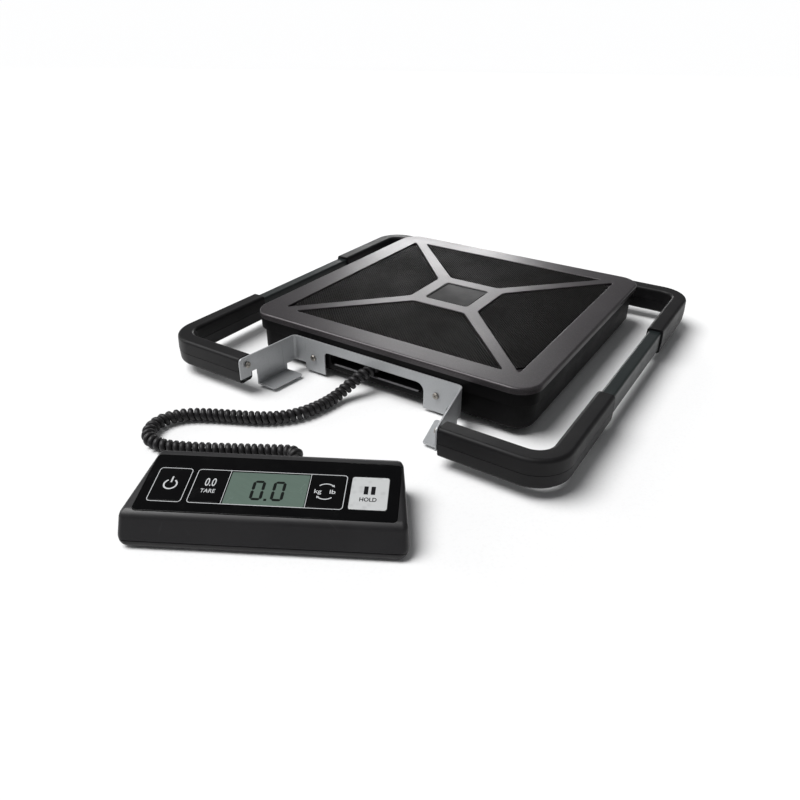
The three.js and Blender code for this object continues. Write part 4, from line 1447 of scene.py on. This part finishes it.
class SCALE_OT_screws(bpy.types.Operator):
    """Make one cross-head screw and copy it to every screw's place"""

    bl_idname = "scale.screws"
    bl_label = "Screws"

    def execute(self, context):
        pattern = self.make_screw()
        for end, turn in (("front", math.pi / 2), ("rear", -math.pi / 2)):
            for number in (1, 2):
                node = f"{end}_bracket_screw_{number}"
                low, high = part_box(node)
                head = low.y + SCREW_HEAD if end == "front" else high.y - SCREW_HEAD
                middle_ = (low + high) / 2
                self.set_screw(pattern, node, Matrix.Translation((middle_.x, head, middle_.z))
                               @ Matrix.Rotation(turn, 4, "X"), number)
            for hand, side in SIDES.items():
                node = f"handle_screw_{end}_{hand}"
                low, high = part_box(node)
                head = low.x + SCREW_HEAD if side > 0 else high.x - SCREW_HEAD
                middle_ = (low + high) / 2
                self.set_screw(pattern, node, Matrix.Translation((head, middle_.y, middle_.z))
                               @ Matrix.Rotation(-side * math.pi / 2, 4, "Y"), side + 3)
        scrap(pattern)
        return {"FINISHED"}

    def make_screw(self):
        """A pan head with a cross recess over a plain shank, its head's underside at z = 0."""
        screw = rod("screw_pattern", 0.003, 0, SCREW_HEAD, 28)
        edit(screw)
        choose("EDGE", lambda e: near(middle(e).z, SCREW_HEAD) and len(e.link_faces) == 2
               and steepest(e) < 0.5)
        bevel_chosen(0.0011, 5)
        choose("FACE", lambda f: f.normal.z < -0.9)
        bpy.ops.mesh.inset(thickness=0.0015)
        push(z=-SCREW_LENGTH)
        round_edges(lambda e: near(middle(e).z, -SCREW_LENGTH), 0.0004, 2)
        done()
        for turn in (0, math.pi / 2):
            arm = block("recess", (-0.00165, -0.00035, 0.0009), (0.00165, 0.00035, 0.003))
            edit(arm)
            choose("VERT", lambda v: v.co.z < 0.001)
            scale_chosen(0.45, 0.7, 1)
            done()
            place(arm, Matrix.Rotation(turn, 4, "Z"))
            boolean(screw, [arm])
        smooth(screw, 40)
        coat(screw, finish("screw_plating"))
        return screw

    def set_screw(self, pattern, node, matrix, number):
        """A copy of the screw in its hole, turned as it happened to be driven."""
        screw = copy_of(pattern, node.replace("screw", "fixing"))
        place(screw, matrix @ Matrix.Rotation(0.7 * number, 4, "Z"))
        install(screw, "base", "screw", node)


# ---------------------------------------------------------------- carrying handles

HANDLE_SIDE = 0.1955
HANDLE_END_X = 0.10455
TUBE_LOW, TUBE_HIGH = 0.0125, 0.0335
GRIP_LOW, GRIP_HIGH, GRIP_SEAM = 0.010, 0.0365, 0.023
GRIP_FRONT_END, GRIP_REAR_START = -0.095, 0.058


def section(name, x, y, width, low, high):
    """An upright rectangle that faces along X, the start of a swept bar."""
    object_mode()
    bpy.ops.mesh.primitive_plane_add(size=1, rotation=(0, math.pi / 2, 0))
    piece = bpy.context.object
    piece.name = name
    piece.scale = (high - low, width, 1)
    piece.location = (x, y, (low + high) / 2)
    settle()
    return piece


def sweep(piece, x_from, y_front, y_rear, x_to, bend, steps=12):
    """Extrudes and spins the section along the right-hand handle, as far as the given ends."""
    turn_x, depth = HANDLE_SIDE - bend, (TUBE_LOW + TUBE_HIGH) / 2
    edit(piece)
    bpy.ops.mesh.select_mode(type="FACE")
    bpy.ops.mesh.select_all(action="SELECT")
    push(x=turn_x - x_from)
    spin_end(steps, (turn_x, y_front + bend, depth))
    last = y_rear if x_to is None else y_rear - bend
    push(y=last - y_front - bend)
    if x_to is not None:
        spin_end(steps, (turn_x, y_rear - bend, depth))
        push(x=x_to - turn_x)
    done()
    return outward(piece)


def spin_end(steps, centre):
    """Turns the selected end face a quarter round a corner of the handle, anticlockwise from above."""
    bpy.ops.mesh.spin(steps=steps, dupli=False, angle=-math.pi / 2, center=centre, axis=(0, 0, 1))


def flip_across(piece, y_middle=None, left=False):
    """Mirrors a finished right-hand or front piece."""
    matrix = Matrix.Identity(4)
    if y_middle is not None:
        matrix = Matrix.Translation((0, y_middle, 0)) @ Matrix.Scale(-1, 4, (0, 1, 0)) @ Matrix.Translation(
            (0, -y_middle, 0))
    if left:
        matrix = Matrix.Scale(-1, 4, (1, 0, 0)) @ matrix
    piece.data.transform(matrix)
    return outward(piece)


class SCALE_OT_handle_tubes(bpy.types.Operator):
    """Make the two painted handle tubes"""

    bl_idname = "scale.handle_tubes"
    bl_label = "Handle tubes"

    def execute(self, context):
        sizes = settings().handles
        for hand, side in SIDES.items():
            tube = section(f"tube_{hand}", HANDLE_END_X, HANDLE_FRONT, sizes.tube_width, TUBE_LOW, TUBE_HIGH)
            edit(tube)
            choose("VERT", lambda v: True)
            bevel_chosen(0.0022, 4, "VERTICES")
            done()
            sweep(tube, HANDLE_END_X, HANDLE_FRONT, HANDLE_REAR, HANDLE_END_X, sizes.bend)
            for y in (HANDLE_FRONT, HANDLE_REAR):
                boolean(tube, [bore("tap", 0.0018, (HANDLE_END_X, y, ARM_SCREW_Z), "X", 0.0095)])
            if side < 0:
                flip_across(tube, left=True)
            complete(tube, 30, "tube_paint", ON_PLATFORM, "base", "tube", f"handle_tube_{hand}")
        return {"FINISHED"}


class SCALE_OT_grips(bpy.types.Operator):
    """Make the moulded grips, each an upper and a lower shell round the tube"""

    bl_idname = "scale.grips"
    bl_label = "Grips"

    def execute(self, context):
        front_end = GRIP_FRONT_END
        rear_end = HANDLE_FRONT + (HANDLE_REAR - GRIP_REAR_START)
        half_way = (HANDLE_FRONT + HANDLE_REAR) / 2
        for end, last, y_middle in (("front", front_end, None), ("rear", rear_end, half_way)):
            whole = self.make_grip(last)
            for upper in (True, False):
                half = self.half_of(whole, upper)
                for hand, side in SIDES.items():
                    level = "upper" if upper else "lower"
                    grip = copy_of(half, f"grip_{end}_{level}_{hand}")
                    if end == "rear" or side < 0:
                        flip_across(grip, y_middle, side < 0)
                    node = f"{end}_grip_{level}_{hand}"
                    complete(grip, 32, "grip_plastic", ON_PLATFORM, "base", "grip", node)
                scrap(half)
            scrap(whole)
        return {"FINISHED"}

    def make_grip(self, last):
        """The outer form of a front grip, widest at its seam, with the tube's channel cut through it."""
        sizes = settings().handles
        grip = section("grip", HANDLE_END_X, HANDLE_FRONT, sizes.grip_width - 0.0012, GRIP_LOW, GRIP_HIGH)
        edit(grip)
        choose("EDGE", lambda e: abs(run(e).z) > 0.9)
        bpy.ops.mesh.subdivide(number_cuts=1)
        choose("VERT", lambda v: near(v.co.z, (GRIP_LOW + GRIP_HIGH) / 2))
        wider = sizes.grip_width / (sizes.grip_width - 0.0012)
        scale_chosen(1, wider, 1, (HANDLE_END_X, HANDLE_FRONT, 0))
        choose("VERT", lambda v: not near(v.co.z, (GRIP_LOW + GRIP_HIGH) / 2))
        bevel_chosen(sizes.grip_round, 5, "VERTICES")
        done()
        sweep(grip, HANDLE_END_X, HANDLE_FRONT, last, None, sizes.bend, 14)
        edit(grip)
        for test in (lambda e: lies_at(e, "y", last), lambda e: lies_at(e, "x", HANDLE_END_X)):
            round_edges(test, 0.0009)
        done()
        channel = section("channel", HANDLE_END_X - 0.003, HANDLE_FRONT, sizes.tube_width + 2 * GAP,
                          TUBE_LOW - GAP, TUBE_HIGH + GAP)
        sweep(channel, HANDLE_END_X - 0.003, HANDLE_FRONT, last + 0.003, None, sizes.bend, 14)
        return boolean(grip, [channel])

    def half_of(self, whole, upper):
        """The upper or the lower shell, with its seam edge eased."""
        half = copy_of(whole, "half")
        level = GRIP_SEAM + (GAP / 2 if upper else -GAP / 2)
        edit(half)
        bpy.ops.mesh.select_all(action="SELECT")
        bpy.ops.mesh.bisect(plane_co=(0, 0, level), plane_no=(0, 0, 1), use_fill=True, clear_inner=upper,
                            clear_outer=not upper)
        choose("EDGE", lambda e: lies_at(e, "z", level)
               and len(e.link_faces) == 2 and max(abs(f.normal.z) for f in e.link_faces) > 0.99
               and steepest(e) < 0.5 and self.outside(middle(e)))
        bevel_chosen(0.0008, 2)
        done()
        return half

    def outside(self, point):
        """True on the grip's outer surface rather than in the tube's channel."""
        bend, half = settings().handles.bend, settings().handles.tube_width / 2 + 0.0006
        dx, dy = point.x - (HANDLE_SIDE - bend), point.y - (HANDLE_FRONT + bend)
        if dx > 0 and dy < 0:
            return abs(math.hypot(dx, dy) - bend) > half
        return abs(point.x - HANDLE_SIDE) > half if dy >= 0 else abs(point.y - HANDLE_FRONT) > half


# ---------------------------------------------------------------- strain reliefs

class SCALE_OT_reliefs(bpy.types.Operator):
    """Make the ribbed strain reliefs at both ends of the cord"""

    bl_idname = "scale.reliefs"
    bl_label = "Strain reliefs"

    def execute(self, context):
        low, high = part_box("base_cord_relief")
        at = Matrix.Translation(((low.x + high.x) / 2, high.y, (low.z + high.z) / 2))
        self.make_relief("relief_base", at @ Matrix.Rotation(math.pi / 2, 4, "X"), "base", "base_cord_relief")
        at = ON_DISPLAY @ Matrix.Translation((0.004, 0.0305, 0.013)) @ Matrix.Rotation(-math.pi / 2, 4, "X")
        self.make_relief("relief_display", at, "display", "display_cord_relief")
        return {"FINISHED"}

    def make_relief(self, name, matrix, body, node):
        """A tapered sleeve with three grooves round its thinner end, its root at z = 0."""
        relief = rod(name, 0.0042, 0, 0.006, 32)
        edit(relief)
        choose("FACE", lambda f: f.normal.z > 0.9)
        for _ in range(3):
            push(z=0.0006)
            scale_chosen(0.84, 0.84, 1)
            push(z=0.0007)
            push(z=0.0003)
            scale_chosen(1.13, 1.13, 1)
            push(z=0.0009)
        bpy.ops.mesh.inset(thickness=0.0004)
        push(z=0.0004)
        round_edges(lambda e: near(middle(e).z, 0.006), 0.0005, 2)
        done()
        soften(relief, 0.00015, 2, 40)
        complete(relief, 45, "relief_rubber", matrix, body, "relief", node)


# ---------------------------------------------------------------- remote display

CASE_FRONT_HALF_W, CASE_REAR_HALF_W = 0.0995, 0.0915
CASE_FRONT, CASE_REAR, CASE_LOW, CASE_TOP, CASE_SEAM = -0.043, 0.0355, 0.0012, 0.032, 0.006
CASE_SLANT, CASE_REAR_LEAN = 0.0105, 0.004
PANEL_EDGES = {"left": -0.089, "right": 0.090, "low": -0.0302, "high": 0.0244}
PANEL_THICK = 0.0018
PANEL_TOP, KEY_TOP, LCD_TOP = 0.0001, 0.0003, -0.0003
OUTLINE_GAP = 0.0005
RELIEF_AT = (0.004, CASE_REAR, 0.013)


def top_at(y):
    """Height of the case's sloping top at a distance from the display's middle."""
    return PANEL_HEIGHT + y * math.tan(PANEL_SLOPE)


def outer_wall(edge):
    """True if the steeper face beside an edge looks away from the middle of the piece."""
    wall = min(edge.link_faces, key=lambda f: abs(f.normal.z))
    point = middle(edge)
    return wall.normal.x * point.x + wall.normal.y * point.y > 0


class SCALE_OT_case(bpy.types.Operator):
    """Make the display's wedge-shaped case in two shells"""

    bl_idname = "scale.case"
    bl_label = "Display case"

    def execute(self, context):
        whole = self.make_body()
        for upper in (True, False):
            self.make_shell(whole, upper)
        scrap(whole)
        return {"FINISHED"}

    def make_body(self):
        """The outer form: wider and leaning out towards its front, with rounded ends and edges."""
        sizes = settings().display
        body = block("case", (-CASE_FRONT_HALF_W, CASE_FRONT, CASE_LOW),
                     (CASE_FRONT_HALF_W, CASE_REAR, CASE_TOP))
        edit(body)
        choose("VERT", lambda v: v.co.y > 0)
        narrower = CASE_REAR_HALF_W / CASE_FRONT_HALF_W
        scale_chosen(narrower, 1, 1)
        for at_front, step in ((True, CASE_SLANT), (False, -CASE_REAR_LEAN)):
            choose("VERT", lambda v: v.co.z > 0.02 and (v.co.y < 0) == at_front)
            level = top_at((CASE_FRONT if at_front else CASE_REAR) + step)
            bpy.ops.transform.translate(value=(0, step, level - CASE_TOP))
        choose("VERT", lambda v: v.co.z > 0.02)
        scale_chosen(0.986, 1, 1)
        round_edges(lambda e: near(middle(e).z, CASE_LOW) and abs(run(e).y) > 0.9, sizes.end_round, 8)
        choose("EDGE", lambda e: len(e.link_faces) == 2 and e.calc_face_angle() > math.radians(35))
        bevel_chosen(sizes.edge_round, 6)
        done()
        return body

    def make_shell(self, whole, upper):
        """One shell with its wall, the panel's recess or the battery bay, and an eased seam."""
        name = "case_top" if upper else "case_bottom"
        sizes = settings().display
        shell = copy_of(whole, name)
        edit(shell)
        bpy.ops.mesh.select_all(action="SELECT")
        level = CASE_SEAM + (GAP / 2 if upper else -GAP / 2)
        bpy.ops.mesh.bisect(plane_co=(0, 0, level), plane_no=(0, 0, 1), clear_inner=upper,
                            clear_outer=not upper)
        done()
        thicken(shell, sizes.wall, -1)
        relief = bore("relief_way", 0.0045, RELIEF_AT, "Y", 0.008)
        boolean(shell, [relief])
        if upper:
            low = (PANEL_EDGES["left"] - GAP, PANEL_EDGES["low"] - GAP, -PANEL_THICK - GAP)
            high = (PANEL_EDGES["right"] + GAP, PANEL_EDGES["high"] + GAP, 0.010)
            pocket = rounded_block("recess", low, high, 0.003, 5)
            opening = block("opening", (-0.086, KEY_LOW - 0.002, -0.012), (0.0865, KEY_HIGH + 0.002, 0.001))
            to_panel = ON_DISPLAY.inverted() @ ON_PANEL
            for tool in (pocket, opening):
                place(tool, to_panel)
                boolean(shell, [tool])
        else:
            boolean(shell, [block("bay", (-0.027, -0.0253, -0.001), (0.027, 0.020, 0.0038))])
        edit(shell)
        choose("EDGE", lambda e: lies_at(e, "z", level)
               and len(e.link_faces) == 2 and steepest(e) < 0.6
               and outer_wall(e))
        bevel_chosen(0.00035, 2)
        if upper:
            self.choose_recess_rim()
            bevel_chosen(0.0005, 3)
        done()
        node = "display_top_housing" if upper else "display_bottom_housing"
        complete(shell, 32, "case_plastic", ON_DISPLAY, "display", "case", node)

    def choose_recess_rim(self):
        """The upper edges of the panel's recess."""
        slope = Vector((0, -math.sin(PANEL_SLOPE), math.cos(PANEL_SLOPE)))
        choose("EDGE", lambda e: len(e.link_faces) == 2 and e.calc_face_angle() > 0.6
               and (middle(e) - Vector((0, 0, PANEL_HEIGHT))).dot(slope) > -0.0008
               and any(abs(f.normal.dot(slope)) < 0.1 for f in e.link_faces)
               and any(f.normal.dot(slope) > 0.9 for f in e.link_faces))


class SCALE_OT_panel(bpy.types.Operator):
    """Make the gloss panel with its openings and printed outlines"""

    bl_idname = "scale.panel"
    bl_label = "Display panel"

    def execute(self, context):
        panel = rounded_block("panel_sheet", (PANEL_EDGES["left"], PANEL_EDGES["low"], -PANEL_THICK),
                              (PANEL_EDGES["right"], PANEL_EDGES["high"], PANEL_TOP), 0.0027, 6)
        edit(panel)
        round_edges(lambda e: near(middle(e).z, PANEL_TOP), 0.0004, 3)
        done()
        for left, right in (*KEYS.values(), LCD_EDGES):
            hole = rounded_block("key_hole", (left - GAP, KEY_LOW - GAP, -0.005),
                                 (right + GAP, KEY_HIGH + GAP, 0.003), 0.0018, 5)
            boolean(panel, [hole])
        tidy_mesh(panel)
        edit(panel)
        choose("EDGE", lambda e: lies_at(e, "z", PANEL_TOP)
               and len(e.link_faces) == 2 and steepest(e) < 0.2)
        bevel_chosen(0.00015, 2)
        done()
        smooth(panel)
        coat(panel, finish("panel_gloss"), finish("legend_ink"))
        power, tare, units = KEYS["power_key"], KEYS["tare_key"], KEYS["units_key"]
        prints = [self.outline(power[0], power[1]), self.outline(tare[0], units[1]),
                  self.upright((tare[1] + LCD_EDGES[0]) / 2), self.upright((units[0] + LCD_EDGES[1]) / 2)]
        join_into(panel, *prints)
        place(panel, ON_PANEL)
        install(panel, "display", "panel", "display_panel")
        return {"FINISHED"}

    def outline(self, left, right):
        """A thin printed line round one or more keys, just outside their gaps."""
        sizes = settings().display
        reach = OUTLINE_GAP
        line = print_plate("outline", left - reach - sizes.line_width, KEY_LOW - reach - sizes.line_width,
                           right + reach + sizes.line_width, KEY_HIGH + reach + sizes.line_width, 0.0027,
                           PANEL_TOP)
        edit(line)
        choose("FACE", lambda f: True)
        bpy.ops.mesh.inset(thickness=sizes.line_width)
        bpy.ops.mesh.delete(type="FACE")
        done()
        return raise_print(line, "legend_ink")

    def upright(self, x):
        """A printed line beside the liquid crystal."""
        half, reach = settings().display.line_width * 0.4, OUTLINE_GAP
        line = print_plate("upright", x - half, KEY_LOW - reach, x + half, KEY_HIGH + reach, 0, PANEL_TOP)
        return raise_print(line, "legend_ink")


def print_plate(name, left, low, right, high, corner, level):
    """A flat outline with rounded corners on the panel."""
    object_mode()
    bpy.ops.mesh.primitive_plane_add(size=1, location=((left + right) / 2, (low + high) / 2, level))
    plate = bpy.context.object
    plate.name = name
    plate.scale = (right - left, high - low, 1)
    settle()
    if corner > 0:
        edit(plate)
        choose("VERT", lambda v: True)
        bevel_chosen(corner, 5, "VERTICES")
        done()
    return plate


def raise_print(plate, ink):
    """Gives a flat print its small thickness and its ink."""
    thicken(plate, settings().display.print_height, 1)
    return coat(plate, finish(ink))


def print_text(body, x, y, width, height, level, ink="legend_ink"):
    """Plain generic lettering, as a thin raised print of a given size round a point of the panel."""
    object_mode()
    bpy.ops.object.text_add(location=(0, 0, 0))
    text = bpy.context.object
    text.data.body = body
    text.data.offset = 0.022 if ink == "dark_ink" else 0.006
    text.data.extrude = settings().display.print_height / 2
    text.data.resolution_u = 4
    bpy.ops.object.convert(target="MESH")
    text = bpy.context.object
    xs, ys = [v.co.x for v in text.data.vertices], [v.co.y for v in text.data.vertices]
    stretch = Matrix.Diagonal((width / (max(xs) - min(xs)), height / (max(ys) - min(ys)), 1, 1))
    centre = Matrix.Translation((-(max(xs) + min(xs)) / 2, -(max(ys) + min(ys)) / 2, 0))
    place(text, Matrix.Translation((x, y, level)) @ stretch @ centre)
    return coat(text, finish(ink))


def print_arc(x, y, radius, width, start, end, level, steps=20):
    """A printed arc of a circle, anticlockwise from start to end in radians."""
    inner, outer, sliver = x + radius - width / 2, x + radius + width / 2, 0.00002
    plate = print_plate("arc", inner, y - sliver, outer, y + sliver, 0, level)
    edit(plate)
    bpy.ops.mesh.select_all(action="SELECT")
    bpy.ops.mesh.delete(type="ONLY_FACE")
    choose("EDGE", lambda e: abs(run(e).x) > 0.9 and middle(e).y > y)
    bpy.ops.mesh.select_all(action="INVERT")
    bpy.ops.mesh.delete(type="EDGE")
    bpy.ops.mesh.select_all(action="SELECT")
    bpy.ops.mesh.spin(steps=steps, dupli=False, angle=start - end, center=(x, y, level), axis=(0, 0, 1))
    done()
    place(plate, Matrix.Translation((x, y, 0)) @ Matrix.Rotation(start, 4, "Z")
          @ Matrix.Translation((-x, -y, 0)))
    edit(plate)
    bpy.ops.mesh.select_all(action="SELECT")
    bpy.ops.mesh.remove_doubles(threshold=1e-6)
    bpy.ops.mesh.normals_make_consistent(inside=False)
    done()
    if plate.data.polygons[0].normal.z < 0:
        edit(plate)
        bpy.ops.mesh.select_all(action="SELECT")
        bpy.ops.mesh.flip_normals()
        done()
    return raise_print(plate, "legend_ink")


def arrow_head(x, y, size, direction, level):
    """A small printed triangle that points along a direction in radians."""
    object_mode()
    bpy.ops.mesh.primitive_circle_add(vertices=3, radius=size, fill_type="NGON",
                                      rotation=(0, 0, direction - math.pi / 2))
    head = bpy.context.object
    settle()
    place(head, Matrix.Translation((x, y, level)))
    return raise_print(head, "legend_ink")


class SCALE_OT_keys(bpy.types.Operator):
    """Make the four keys with their printed symbols"""

    bl_idname = "scale.keys"
    bl_label = "Keys"

    def execute(self, context):
        makers = {"power_key": self.power_symbol, "tare_key": self.tare_symbol,
                  "units_key": self.units_symbol, "hold_key": self.hold_symbol}
        for node, (left, right) in KEYS.items():
            silver = node == "hold_key"
            key = rounded_block(node.replace("key", "cap"), (left, KEY_LOW, -0.0052),
                                (right, KEY_HIGH, KEY_TOP), 0.002, 6)
            edit(key)
            round_edges(lambda e: near(middle(e).z, KEY_TOP), 0.0003, 3)
            done()
            smooth(key)
            coat(key, finish("key_silver" if silver else "key_gloss"))
            join_into(key, *makers[node](KEY_TOP, (left + right) / 2))
            place(key, ON_PANEL)
            install(key, node, "hold_key" if silver else "panel", node)
        return {"FINISHED"}

    def power_symbol(self, level, x):
        """An open ring with a bar through its gap."""
        y, radius, width = -0.0052, 0.0045, 0.0011
        ring = print_arc(x, y, radius, width, math.radians(122), math.radians(418), level)
        bar = print_plate("bar", x - width / 2, y + 0.0018, x + width / 2, y + 0.0076, 0.0003, level)
        return [ring, raise_print(bar, "legend_ink")]

    def tare_symbol(self, level, x):
        """Zero over the word for it."""
        return [print_text("0.0", x, -0.0015, 0.0077, 0.0076, level),
                print_text("TARE", x, -0.0099, 0.0104, 0.0036, level)]

    def units_symbol(self, level, x):
        """Two turning arrows round the two units."""
        x, y, radius = x - 0.0007, -0.0055, 0.0073
        pieces = [print_text("kg", x - 0.0053, y - 0.0006, 0.0050, 0.0050, level),
                  print_text("lb", x + 0.0049, y, 0.0040, 0.0038, level)]
        for start in (48, 228):
            first, last = math.radians(start), math.radians(start + 84)
            pieces.append(print_arc(x, y, radius, 0.0008, first, last, level, steps=12))
            tip = Vector((x + radius * math.cos(first), y + radius * math.sin(first)))
            pieces.append(arrow_head(tip.x, tip.y, 0.0013, first - math.pi / 2 - 0.15, level))
        return pieces

    def hold_symbol(self, level, x):
        """Two upright bars over the word for it."""
        half, apart = 0.0015, 0.0025
        bars = [print_plate("bar", x + side * apart - half, -0.0065, x + side * apart + half, 0.0012, 0.0002,
                            level) for side in (-1, 1)]
        word = print_text("HOLD", x - 0.0004, -0.0112, 0.0118, 0.0038, level, ink="dark_ink")
        return [*(raise_print(bar, "dark_ink") for bar in bars), word]


class SCALE_OT_lcd(bpy.types.Operator):
    """Make the liquid crystal window with its seven-segment figures"""

    bl_idname = "scale.lcd"
    bl_label = "Liquid crystal"

    def execute(self, context):
        left, right = LCD_EDGES
        window = rounded_block("lcd_window", (left, KEY_LOW, -0.0054), (right, KEY_HIGH, LCD_TOP), 0.0008, 4)
        edit(window)
        round_edges(lambda e: near(middle(e).z, LCD_TOP), 0.0003, 2)
        done()
        smooth(window)
        coat(window, finish("liquid_crystal"))
        figures = [self.zero(-0.0083, LCD_TOP), self.zero(0.0062, LCD_TOP), self.point(-0.0014, LCD_TOP)]
        join_into(window, *figures)
        place(window, ON_PANEL)
        install(window, "display", "lcd", "lcd_module")
        return {"FINISHED"}

    def segment(self, long, width, level):
        """One bar with pointed ends, along Y."""
        plate = print_plate("segment", -width / 2, -long / 2, width / 2, long / 2, 0, level)
        edit(plate)
        choose("EDGE", lambda e: abs(run(e).x) > 0.9)
        bpy.ops.mesh.subdivide(number_cuts=1)
        choose("VERT", lambda v: abs(v.co.x) > width / 4)
        scale_chosen(1, 1 - width / long, 1)
        done()
        return raise_print(plate, "segment_ink")

    def zero(self, x, level):
        """A nought of six segments."""
        tall, wide, width = 0.0083, 0.0068, 0.0021
        pieces = []
        for dx, dy, turn in ((-1, 1, 0), (1, 1, 0), (-1, -1, 0), (1, -1, 0), (0, 2, 1), (0, -2, 1)):
            long = wide if turn else tall
            bar = self.segment(long - 0.0003, width, level)
            place(bar, Matrix.Translation((x + dx * wide / 2, dy * tall / 2 - 0.0068, 0))
                  @ Matrix.Rotation(turn * math.pi / 2, 4, "Z"))
            pieces.append(bar)
        return join_into(*pieces)

    def point(self, x, level):
        """The decimal point."""
        plate = print_plate("point", x - 0.0010, -0.0164, x + 0.0010, -0.0144, 0.0003, level)
        return raise_print(plate, "segment_ink")


class SCALE_OT_battery_door(bpy.types.Operator):
    """Make the sliding battery door with its thumb grooves"""

    bl_idname = "scale.battery_door"
    bl_label = "Battery door"

    def execute(self, context):
        half_x, half_y, low, high = 0.0266, 0.0196, 0.0014, 0.0029
        door = rounded_block("door", (-half_x, -half_y, low), (half_x, half_y, high), 0.0012, 4)
        grooves = []
        half, first, pitch, width = 0.009, -0.0165, 0.0022, 0.0010
        for k in range(5):
            y = first + k * pitch
            grooves.append(block("groove", (-half, y, 0.0010), (half, y + width, 0.00165)))
        boolean(door, grooves)
        soften(door, 0.0002, 2, 50)
        complete(door, 35, "case_plastic", ON_DISPLAY, "battery_door", "case", "battery_door")
        return {"FINISHED"}


class SCALE_OT_inside(bpy.types.Operator):
    """Finish the parts inside that keep their CAD shape"""

    bl_idname = "scale.inside"
    bl_label = "Inner parts"

    def execute(self, context):
        inner = {"load_spider": "spider_zinc", "junction_board": "solder_mask",
                 "display_board": "solder_mask", "battery_contacts": "contact_nickel"}
        inner.update({f"load_cell_{corner}": "cell_alloy" for corner in CORNERS})
        inner.update({f"battery_{number}": "battery_sleeve" for number in (1, 2, 3)})
        for node, look in inner.items():
            coat(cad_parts[node], finish(look))
        return {"FINISHED"}


# ---------------------------------------------------------------- sidebar and running order

MAKING_ORDER = (
    SCALE_OT_stage, SCALE_OT_cord,
    SCALE_OT_cover, SCALE_OT_tread_mats, SCALE_OT_badge, SCALE_OT_base_pan, SCALE_OT_feet,
    SCALE_OT_brackets, SCALE_OT_screws, SCALE_OT_handle_tubes, SCALE_OT_grips, SCALE_OT_reliefs,
    SCALE_OT_case, SCALE_OT_panel, SCALE_OT_keys, SCALE_OT_lcd, SCALE_OT_battery_door, SCALE_OT_inside,
)


class SCALE_PT_sidebar(bpy.types.Panel):
    """The scale's pieces and sizes in the sidebar"""

    bl_idname = "SCALE_PT_sidebar"
    bl_label = "Platform Shipping Scale"
    bl_space_type = "VIEW_3D"
    bl_region_type = "UI"
    bl_category = "Scale"

    def draw(self, context):
        layout = self.layout
        for group in ("platform", "handles", "cord", "display", "finishes"):
            sizes = getattr(context.scene.shipping_scale, group)
            column = layout.box().column()
            column.label(text=group.capitalize())
            for label in sizes.bl_rna.properties.keys():
                if label not in {"rna_type", "name"}:
                    column.prop(sizes, label)
        for operator in MAKING_ORDER:
            layout.operator(operator.bl_idname)


CLASSES = (PlatformSizes, HandleSizes, CordSizes, DisplaySizes, Finishes, ShippingScale, *MAKING_ORDER,
           SCALE_PT_sidebar)


def register():
    """Registers the scale's classes and its settings."""
    for each in CLASSES:
        bpy.utils.register_class(each)
    bpy.types.Scene.shipping_scale = PointerProperty(type=ShippingScale)


def unregister():
    """Removes them again."""
    del bpy.types.Scene.shipping_scale
    for each in reversed(CLASSES):
        bpy.utils.unregister_class(each)


def main():
    """Makes every piece in order."""
    register()
    for operator in MAKING_ORDER:
        group, name = operator.bl_idname.split(".")
        getattr(getattr(bpy.ops, group), name)()
    object_mode()


if __name__ == "__main__":
    main()
